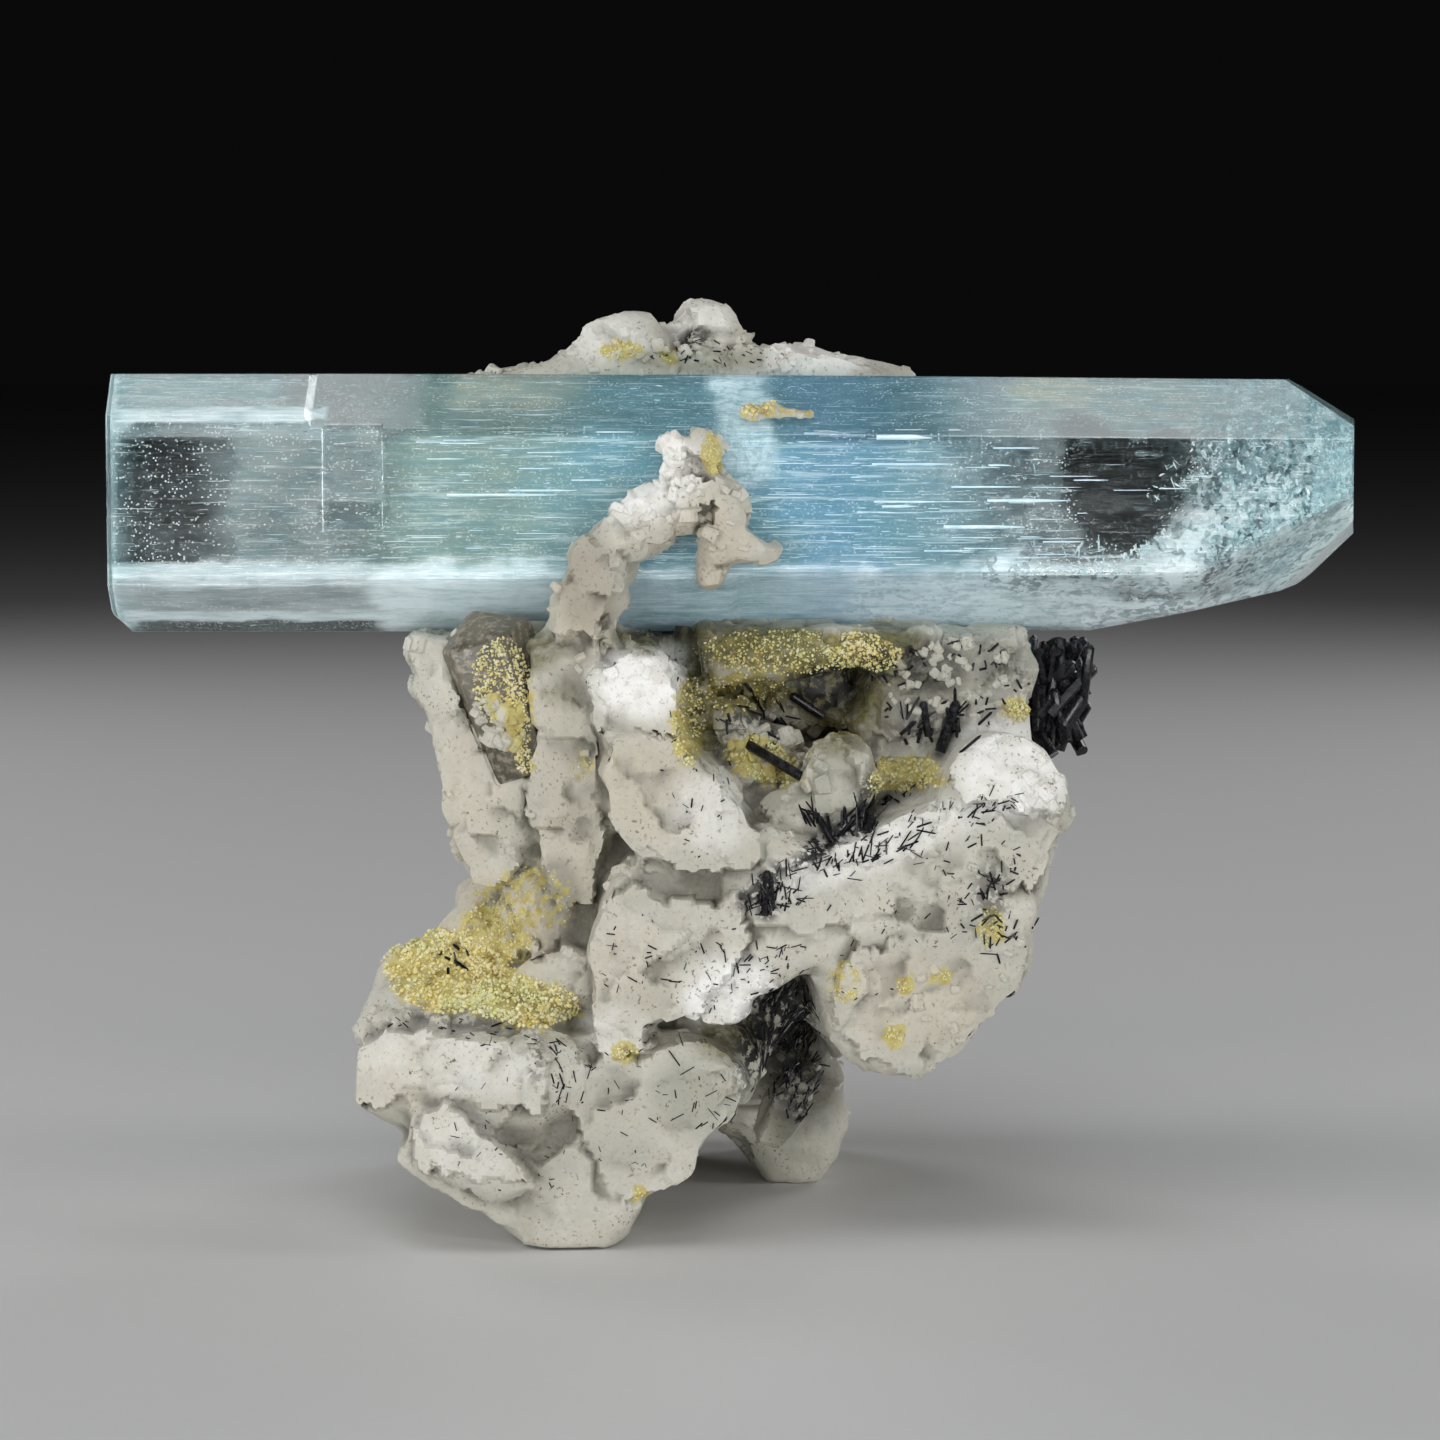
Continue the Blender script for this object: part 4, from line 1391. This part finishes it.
def prism_pattern(name):
    """A tourmaline prism, one unit long along +Z: rounded three-sided, ribbed lengthwise, with a low end."""
    bpy.ops.object.select_all(action="DESELECT")
    bpy.ops.mesh.primitive_cylinder_add(vertices=18, radius=0.5, depth=0.94, location=(0, 0, 0.47))
    prism = bpy.context.active_object
    prism.name = name
    settle(prism)
    for vertex in prism.data.vertices:
        angle = math.atan2(vertex.co.y, vertex.co.x)
        rib = 1.0 if round(angle / math.radians(20)) % 2 else 0.93
        bulge = 1.0 + 0.07 * math.cos(3 * angle)
        vertex.co.x *= rib * bulge
        vertex.co.y *= rib * bulge
    edit(prism)
    bpy.ops.mesh.select_all(action="DESELECT")
    done()
    top = max(prism.data.polygons, key=lambda face: face.center.z)
    top.select = True
    bpy.ops.object.mode_set(mode="EDIT")
    bpy.ops.mesh.select_mode(type="FACE")
    bpy.ops.mesh.extrude_region_move(TRANSFORM_OT_translate={"value": (0.02, 0, 0.06)})
    bpy.ops.transform.resize(value=(0.45, 0.45, 1.0))
    done()
    return prism


def shard_pattern(name, seed):
    """A thin fracture with an uneven outline, lying across Z."""
    rng = random.Random(seed)
    corners = 5
    rim = []
    for i in range(corners):
        reach = rng.uniform(0.14, 0.60)
        rim.append((math.cos(math.tau * i / corners) * reach, math.sin(math.tau * i / corners) * reach,
                    rng.uniform(-0.08, 0.08)))
    mesh = bpy.data.meshes.new(name)
    mesh.from_pydata([(0.0, 0.0, 0.08)] + rim, [], [(0, i + 1, (i + 1) % corners + 1) for i in range(corners)])
    return new_object(name, mesh)


def tablet_pattern(name):
    """A tabular albite crystal with bevelled edges, its foot at the origin and its blade along +Z."""
    bpy.ops.object.select_all(action="DESELECT")
    bpy.ops.mesh.primitive_cube_add(size=1.0, location=(0, 0, 0.25))
    tablet = bpy.context.active_object
    tablet.name = name
    tablet.scale = (1.0, 0.42, 1.1)
    settle(tablet)
    edit(tablet)
    bpy.ops.mesh.bevel(offset=0.11, segments=1)
    done()
    for vertex in tablet.data.vertices:
        if vertex.co.z > 0.3:
            vertex.co.x = vertex.co.x * 0.8 + 0.08
            vertex.co.y *= 0.75
    return tablet


# ---------------------------------------------------------------- pieces of the larger groups

def albite_rock(settings, material):
    """The matrix, with slabs, plates, flakes and facets on it and its zones marked."""
    matrix = merged_copy("albite_rock", "albite_matrix")
    join(matrix, [slab_of(f"slab_{index}", slab) for index, slab in enumerate(SLABS)])
    finish_with(matrix, "REMESH", mode="VOXEL", voxel_size=settings.skin)
    finish_with(matrix, "SMOOTH", factor=0.5, iterations=5)
    raise_plates(matrix, PLATES, wave=0.0013, flat=0.85)
    facet(matrix, spacing=0.0056, tilt=6.0, step=settings.ledges * 0.5, seed=3)
    raise_flakes(matrix, settings.flakes // 4, small=0.0024, large=0.0050, step=settings.ledges * 0.6, seed=5)
    raise_flakes(matrix, settings.flakes, small=0.0007, large=0.0020, step=settings.ledges * 0.30, seed=6)
    chip(matrix, RUGGED, spacing=0.0030, strength=0.95, limit=0.0007, tilt=10.0, seed=9)
    heap_up(matrix, [(c.zone, min(1.0, c.count / 60)) for c in CRUSTS], height=0.0005)
    finish_with(matrix, "DISPLACE", texture=relief("sugar", "CLOUDS", 0.0008, noise_depth=2),
                texture_coords="LOCAL", strength=settings.sugar, mid_level=0.5)
    finish_with(matrix, "DECIMATE", ratio=settings.kept)
    keep_clear(matrix, settings.gap)
    floor = points_of(matrix)
    floor[:, 2] = np.maximum(floor[:, 2], 0.0)
    set_points(matrix, floor)
    smooth_but_for_edges(matrix, 24.0)
    for attribute, zones in (*TINTS, ("soot", BLACK)):
        mark(matrix, attribute, facing(matrix, zones))
    deep = np.maximum(hollows(matrix, rounds=50, depth=0.0012), hollows(matrix, rounds=8, depth=0.0003) * 0.7)
    mark(matrix, "hollow", np.maximum(deep, facing(matrix, DEEP)))
    finish_piece(matrix, material, "albite", "albite_matrix")
    return matrix


def albite_small_crystals(matrix, settings, material):
    """The small tabular crystals that stand out of the matrix."""
    rng = random.Random(11)
    surface = surface_of(matrix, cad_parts["smoky_quartz_crystal"])
    placed = []
    for zone, count, small, large in ALBITE_CRYSTALS:
        for place, normal in seats(zone, count, surface, rng):
            size = rng.uniform(small, large) * rng.uniform(0.5, 1.0) * MM
            way = (normal + scatter(rng, 0.3)).normalized()
            if place.z < size:
                continue
            placed.append((0, set_at(place - way * size * 0.38, way, rng.random() * math.tau,
                                     size, size * rng.uniform(1.2, 2.2), size * rng.uniform(0.6, 0.9))))
    tablet = tablet_pattern("tablet")
    crystals = joined_copies("albite_small_crystals", [tablet], placed, material)
    keep_clear(crystals, settings.gap)
    remove([tablet])
    mark(crystals, "hollow", np.full(len(crystals.data.vertices), -0.2))
    for attribute, zones in TINTS:
        mark(crystals, attribute, facing(crystals, zones))
    finish_piece(crystals, material, "albite")


def albite_patch(material):
    """The patch of albite on the aquamarine."""
    patch = merged_copy("albite_patch_crust", "albite_patch")
    finish_with(patch, "REMESH", mode="VOXEL", voxel_size=0.00016)
    finish_with(patch, "DISPLACE", texture=relief("patch", "VORONOI", 0.0006, color_mode="POSITION"),
                texture_coords="LOCAL", strength=0.00025, mid_level=0.6)
    smooth_but_for_edges(patch, 28.0)
    mark(patch, "stain", np.full(len(patch.data.vertices), 0.55))
    finish_piece(patch, material, "albite", "albite_patch")


def cloudy_zone(settings):
    """The aquamarine's cloudy skin, marked with how cloudy, white, crazed and warm it is."""
    zone = merged_copy("aquamarine_cloudy_zone", "aquamarine_crystal")
    points = points_of(zone)
    centre = (points.max(axis=0) + points.min(axis=0)) / 2
    half = (points.max(axis=0) - points.min(axis=0)) / 2
    inset = np.array((settings.inset * 0.45, settings.inset, settings.inset))
    set_points(zone, centre + (points - centre) * (half - inset) / half)
    finish_with(zone, "REMESH", mode="VOXEL", voxel_size=0.0006)
    points, normals = points_of(zone), normals_of(zone)
    wander = np.array([noise.noise_vector(Vector(p) / (1.3 * MM)) for p in points]) * 0.5
    wander += np.array([noise.noise_vector(Vector(p) / (4.0 * MM)) for p in points]) * 0.8
    x, z = points[:, 0] / MM, points[:, 2] / MM
    amounts = []
    for profile in (CLOUD_FRONT, CLOUD_UPPER, CLOUD_LOWER, CLOUD_BACK):
        stations, cloudiness = zip(*profile)
        amounts.append(np.interp(x, stations, cloudiness))
    front, upper, lower, back = amounts
    cloudy = np.where(normals[:, 2] > 0.3, upper, np.where(normals[:, 2] < -0.3, lower, front))
    behind = normals[:, 1] > 0.1
    cloudy = np.where(behind, back, cloudy)
    white, crazed, warm = np.zeros_like(x), np.where(behind, np.clip((x - 38.0) / 5.0, 0, 1), 0.0), np.zeros_like(x)
    for film in FILMS:
        stray = min(film.soft, 1.4)
        weight = outline_weight(x + wander[:, 0] * stray, z + wander[:, 2] * stray, film.outline, film.soft)
        weight = weight * weight * (3 - 2 * weight)
        weight = np.where(behind, 0.0, weight)
        cloudy += (film.cloudy - cloudy) * weight
        white += (film.white - white) * weight
        crazed += (film.crazed - crazed) * weight
        warm += (film.warm - warm) * weight
    for attribute, weights in (("cloudiness", cloudy), ("whiteness", white), ("crazing", crazed), ("warmth", warm)):
        mark(zone, attribute, weights)
    smooth_but_for_edges(zone, 30.0)
    finish_piece(zone, milk_material(settings), "aquamarine")
    return zone


def fractures(zone, rng):
    """The flat fractures in the cloudy zone."""
    patterns = [shard_pattern(f"shard_{index}", index) for index in range(4)]
    surface = surface_of(zone)
    placed = []
    for group in SHARDS:
        for place, normal in seats(group.zone, group.count, surface, rng):
            size = rng.uniform(group.small, group.large) * MM
            depth = rng.uniform(0.0, 1.0) ** 1.6 * group.depth * MM
            way = (normal * group.flat + scatter(rng, 1)).normalized()
            long = size * rng.uniform(1.0, group.stretch)
            placed.append((rng.randrange(len(patterns)), set_at(
                place - normal * (depth + size * 0.25), way, rng.random() * math.tau, long, size, size)))
    shards = joined_copies("aquamarine_fractures", patterns, placed, fracture_material())
    tones = np.repeat(np.array([rng.random() ** 1.6 for _ in placed]), len(patterns[0].data.vertices))
    mark(shards, "tone", tones)
    keep_inside(shards, zone)
    remove(patterns)
    finish_piece(shards, shards.data.materials[0], "aquamarine")


def growth_tubes(settings, rng):
    """The tubes that run along the inside of the aquamarine."""
    low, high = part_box("aquamarine_crystal")
    middle_y = (low[1] + high[1]) / 2
    front_y = low[1]
    spindle = needle_pattern("spindle", 4, 0.3)
    along = Matrix.Rotation(math.pi / 2, 4, "Y")
    placed = []
    for x, z, length, thick in GROWTH_TUBES:
        size = length * MM
        place = Vector((x * MM - size / 2, front_y + rng.uniform(0.30, 0.55) * MM, z * MM))
        placed.append((0, Matrix.Translation(place) @ along @ scaled(thick * MM, thick * 0.6 * MM, size)))
    for _ in range(settings.tubes):
        size = rng.uniform(0.8, 5.0) * MM
        x = rng.triangular(-36, 42, 6) * MM
        depth = rng.choice((front_y + rng.uniform(0.2, 0.6) * MM, middle_y + rng.uniform(-9.4, 7.0) * MM))
        place = Vector((x - size / 2, depth, rng.uniform(58.5, 71.5) * MM))
        thick = rng.uniform(0.04, 0.10) * MM
        placed.append((0, Matrix.Translation(place) @ along @ scaled(thick, thick, size)))
    tubes = joined_copies("aquamarine_growth_tubes", [spindle], placed, tube_material())
    remove([spindle])
    finish_piece(tubes, tubes.data.materials[0], "aquamarine")


# ---------------------------------------------------------------- operators

class SPECIMEN_OT_albite(bpy.types.Operator):
    """Build the albite matrix, its small crystals and the patch on the aquamarine"""
    bl_idname = "specimen.albite"
    bl_label = "Albite"

    def execute(self, context):
        settings = context.scene.specimen.albite
        material = albite_material(settings)
        matrix = albite_rock(settings, material)
        albite_small_crystals(matrix, settings, material)
        albite_patch(material)
        return {"FINISHED"}


class SPECIMEN_OT_aquamarine(bpy.types.Operator):
    """Build the clear aquamarine prism"""
    bl_idname = "specimen.aquamarine"
    bl_label = "Aquamarine"

    def execute(self, context):
        settings = context.scene.specimen.aquamarine
        prism = merged_copy("aquamarine_prism", "aquamarine_crystal")
        finish_with(prism, "BEVEL", width=settings.edge, segments=2, limit_method="ANGLE",
                    angle_limit=math.radians(14))
        finish_piece(prism, aquamarine_material(settings), "aquamarine", "aquamarine_crystal")
        return {"FINISHED"}


class SPECIMEN_OT_inclusions(bpy.types.Operator):
    """Build the tubes, veils and fractures inside the aquamarine"""
    bl_idname = "specimen.inclusions"
    bl_label = "Inclusions"

    def execute(self, context):
        settings = context.scene.specimen.aquamarine
        rng = random.Random(5)
        zone = cloudy_zone(settings)
        fractures(zone, rng)
        growth_tubes(settings, rng)
        return {"FINISHED"}


class SPECIMEN_OT_quartz(bpy.types.Operator):
    """Build the smoky quartz crystal"""
    bl_idname = "specimen.quartz"
    bl_label = "Smoky quartz"

    def execute(self, context):
        quartz = merged_copy("smoky_quartz_point", "smoky_quartz_crystal")
        finish_with(quartz, "BEVEL", width=0.00025, segments=2, limit_method="ANGLE", angle_limit=math.radians(20))
        smooth_but_for_edges(quartz, 25.0)
        finish_piece(quartz, quartz_material(context.scene.specimen.quartz), "smoky_quartz", "smoky_quartz_crystal")
        return {"FINISHED"}


class SPECIMEN_OT_schorl(bpy.types.Operator):
    """Build the schorl cluster and the single prisms"""
    bl_idname = "specimen.schorl"
    bl_label = "Schorl"

    def execute(self, context):
        settings = context.scene.specimen.schorl
        material = schorl_material(settings)
        rng = random.Random(23)
        pattern = prism_pattern("tourmaline")

        names = sorted(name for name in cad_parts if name.startswith("schorl_prism_"))
        for name in names:
            points = points_of(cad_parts[name])
            centre = points.mean(axis=0)
            _, _, axes = np.linalg.svd(points - centre, full_matrices=False)
            reach = (points - centre) @ axes.T
            length = float(reach[:, 0].max() - reach[:, 0].min())
            width = float(reach[:, 1].max() - reach[:, 1].min())
            way = Vector(axes[0])
            if way.z < 0:
                way = -way
            foot = Vector(centre) - way * length / 2
            single = joined_copies(name.replace("prism", "ribbed_prism"), [pattern], [
                (0, set_at(foot, way, rng.random(), width, width, length))], material)
            smooth_but_for_edges(single, 35.0)
            finish_piece(single, material, "schorl", name)

        low, high = (Vector(corner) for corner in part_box("schorl_cluster"))
        size = high - low
        placed = []
        for _ in range(settings.prisms):
            length = rng.uniform(0.20, 0.62) * size.z
            thick = rng.uniform(0.6, 1.7) * MM
            way = Vector((rng.gauss(0.10, 0.30), rng.gauss(0, 0.45), rng.uniform(0.6, 1.0))).normalized()
            room = Vector((max(size.x - thick, 0), max(size.y - thick, 0), max(size.z - length, 0)))
            foot = low + Vector((thick / 2, thick / 2, 0)) + Vector(
                (room.x * rng.random(), room.y * rng.random(), room.z * rng.random()))
            foot -= Vector((way.x, way.y, 0)) * length * 0.5
            foot.x = min(max(foot.x, low.x + thick / 2), high.x - thick / 2)
            foot.y = min(max(foot.y, low.y + thick / 2), high.y - thick / 2)
            placed.append((0, set_at(foot, way, rng.random() * math.tau,
                                     thick, thick * rng.uniform(0.7, 1.0), length * 0.98)))
        cluster = joined_copies("schorl_bundle", [pattern], placed, material)
        keep_clear(cluster, CLEARANCE)
        remove([pattern])
        smooth_but_for_edges(cluster, 35.0)
        finish_piece(cluster, material, "schorl", "schorl_cluster")
        return {"FINISHED"}


class SPECIMEN_OT_needles(bpy.types.Operator):
    """Scatter the fine schorl needles over the matrix"""
    bl_idname = "specimen.needles"
    bl_label = "Needles"

    def execute(self, context):
        material = bpy.data.materials["schorl_black"]
        rng = random.Random(31)
        surface = surface_of(*(bpy.data.objects[name] for name in ("albite_rock", "smoky_quartz_point")))
        patterns = [needle_pattern("needle", 6, 0.12)]
        sides = {}
        for group in NEEDLES:
            _, across, up = SIGHTS[group.zone.sight]
            for place, normal in seats(group.zone, group.count, surface, rng):
                heading = math.radians(group.heading + rng.uniform(-group.spread, group.spread))
                way = across * math.cos(heading) + up * math.sin(heading)
                way = (way - normal * way.dot(normal)).normalized()
                lift = math.radians(max(0.5, rng.gauss(group.lift, group.lift * 0.5)))
                way = (way * math.cos(lift) + normal * math.sin(lift)).normalized()
                if group.count > 40 and noise.noise(place * 420.0) + rng.uniform(-0.25, 0.25) < -0.05:
                    continue
                length = rng.uniform(group.short, group.long) * rng.uniform(0.35, 1.0) * MM
                width = group.width * rng.uniform(0.45, 1.15) * MM
                foot = place - way * length * 0.12 + normal * width * 0.12
                if foot.z < width or (foot + way * length).z < width:
                    continue
                matrix = set_at(foot, way, rng.random() * math.tau, width, width, length)
                sides.setdefault(group.zone.sight, []).append((0, matrix))
        for side, placed in sides.items():
            needles = joined_copies(f"schorl_needles_{side}", patterns, placed, material)
            keep_clear(needles, CLEARANCE)
            finish_piece(needles, material, "schorl")
        remove(patterns)
        return {"FINISHED"}


class SPECIMEN_OT_crust(bpy.types.Operator):
    """Scatter the grains of the yellow crust"""
    bl_idname = "specimen.crust"
    bl_label = "Crust"

    def execute(self, context):
        settings = context.scene.specimen.crust
        material = crust_material(settings)
        rng = random.Random(47)
        surface = surface_of(*(bpy.data.objects[name] for name in (
            "albite_rock", "smoky_quartz_point", "albite_patch_crust")))
        patterns = [grain_pattern("grain_a", (1.0, 0.85, 0.8), 1), grain_pattern("grain_b", (0.9, 1.0, 0.7), 2),
                    grain_pattern("grain_c", (0.8, 0.9, 1.1), 3)]
        sides = {}
        for crust in CRUSTS:
            for place, normal in seats(crust.zone, int(crust.count * settings.fill), surface, rng):
                size = (crust.small * 0.7 + (crust.large * 1.1 - crust.small * 0.7) * rng.random() ** 2.2) * MM
                way = (normal + scatter(rng, 0.5)).normalized()
                matrix = set_at(place + normal * size * rng.uniform(-0.15, 0.30), way, rng.random() * math.tau,
                                size, size, size)
                if place.z > size:
                    sides.setdefault(crust.zone.sight, []).append((rng.randrange(len(patterns)), matrix))
        for side, placed in sides.items():
            grains = joined_copies(f"crust_grains_{side}", patterns, placed, material)
            keep_clear(grains, CLEARANCE)
            finish_piece(grains, material, "albite_crust")
        remove(patterns)
        return {"FINISHED"}


def softbox(name, size, power, place, target, colour=(1.0, 1.0, 1.0)):
    """An area light that points at a target."""
    light = bpy.data.lights.new(name, "AREA")
    light.shape = "RECTANGLE"
    light.size, light.size_y = size
    light.energy = power
    light.color = colour
    obj = bpy.data.objects.new(name, light)
    obj.location = place
    obj.rotation_euler = (Vector(target) - Vector(place)).to_track_quat("-Z", "Y").to_euler()
    obj.visible_camera = False
    bpy.context.scene.collection.objects.link(obj)
    return obj


class SPECIMEN_OT_stage(bpy.types.Operator):
    """Set up the floor, the softboxes and the camera"""
    bl_idname = "specimen.stage"
    bl_label = "Stage"

    def execute(self, context):
        scene = context.scene
        settings = scene.specimen.stage
        bpy.ops.object.select_all(action="DESELECT")
        bpy.ops.mesh.primitive_plane_add(size=12.0)
        floor = context.active_object
        floor.name = "floor"
        floor.location.z = -0.00002
        settle(floor)
        material, tree, shader, place = new_material("floor_paper", Roughness=0.6, Base_Color=settings.floor)
        grain = cloud(tree, place, 900.0, 0.3, 0.7)
        tree.links.new(blend(tree, times(tree, grain, 0.05), settings.floor, (0.5, 0.5, 0.5)),
                       shader.inputs["Base Color"])
        floor.data.materials.append(material)

        low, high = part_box("aquamarine_crystal")
        middle = (low[1] + high[1]) / 2
        centre = (0.0, middle, 0.045)
        softbox("overhead", (0.42, 0.30), 0.9, (-0.10, -0.22, 0.54), centre)
        softbox("left side", (0.18, 0.42), 0.9, (-0.60, -0.10, 0.22), centre)
        softbox("right side", (0.18, 0.42), 0.8, (0.60, -0.10, 0.24), centre)
        softbox("front left", (0.34, 0.08), 1.4, (-0.44, -0.60, 0.05), centre)
        softbox("front right", (0.34, 0.08), 1.25, (0.46, -0.60, 0.05), centre)
        softbox("front high", (0.40, 0.20), 0.9, (0.0, -0.80, 0.56), centre)
        softbox("low front", (0.30, 0.02), 0.12, (0.0, middle - 0.30, 0.014), (0.0, middle, 0.056))
        softbox("rear left", (0.24, 0.30), 0.85, (-0.42, 0.50, 0.36), centre)
        softbox("rear right", (0.24, 0.30), 0.85, (0.42, 0.50, 0.36), centre)

        world = bpy.data.worlds.new("studio")
        world.use_nodes = True
        world.node_tree.nodes["Background"].inputs["Color"].default_value = (0.003, 0.003, 0.0032, 1.0)
        scene.world = world
        scene.view_settings.view_transform = "Standard"

        camera = bpy.data.objects.new("camera", bpy.data.cameras.new("camera"))
        camera.data.sensor_width = 36.0
        camera.data.lens = settings.lens
        camera.data.clip_start = 0.01
        aside, underside = 0.0549, 0.053  # the camera's place along the prism, and the prism's height above the floor
        camera.location = (low[0] + aside, middle - settings.distance, low[2] - underside + settings.height)
        camera.rotation_euler = (math.pi / 2 - settings.tilt, 0.0, 0.0)
        scene.collection.objects.link(camera)
        scene.camera = camera
        return {"FINISHED"}


class SPECIMEN_PT_panel(bpy.types.Panel):
    """Lists the steps that build the specimen"""
    bl_idname = "SPECIMEN_PT_panel"
    bl_label = "Aquamarine Specimen"
    bl_space_type = "VIEW_3D"
    bl_region_type = "UI"
    bl_category = "Specimen"

    def draw(self, context):
        settings = context.scene.specimen
        for operator, group in STEPS:
            box = self.layout.box()
            box.operator(operator.bl_idname)
            values = getattr(settings, group)
            for key in values.__annotations__:
                box.prop(values, key)


STEPS = (
    (SPECIMEN_OT_albite, "albite"),
    (SPECIMEN_OT_aquamarine, "aquamarine"),
    (SPECIMEN_OT_inclusions, "aquamarine"),
    (SPECIMEN_OT_quartz, "quartz"),
    (SPECIMEN_OT_schorl, "schorl"),
    (SPECIMEN_OT_needles, "schorl"),
    (SPECIMEN_OT_crust, "crust"),
    (SPECIMEN_OT_stage, "stage"),
)
CLASSES = (
    AlbiteSettings, AquamarineSettings, QuartzSettings, SchorlSettings, CrustSettings, StageSettings,
    SpecimenSettings, *(operator for operator, _ in STEPS), SPECIMEN_PT_panel,
)


def register():
    """Adds the classes and the settings."""
    for cls in CLASSES:
        bpy.utils.register_class(cls)
    bpy.types.Scene.specimen = PointerProperty(type=SpecimenSettings)


def unregister():
    """Takes them away again."""
    del bpy.types.Scene.specimen
    for cls in reversed(CLASSES):
        bpy.utils.unregister_class(cls)


def main():
    """Builds the whole specimen."""
    register()
    cloud_group()
    sugar_group()
    striation_group()
    crackle_group()
    for step in ("albite", "aquamarine", "inclusions", "quartz", "schorl", "needles", "crust", "stage"):
        getattr(bpy.ops.specimen, step)()


if __name__ == "__main__":
    main()
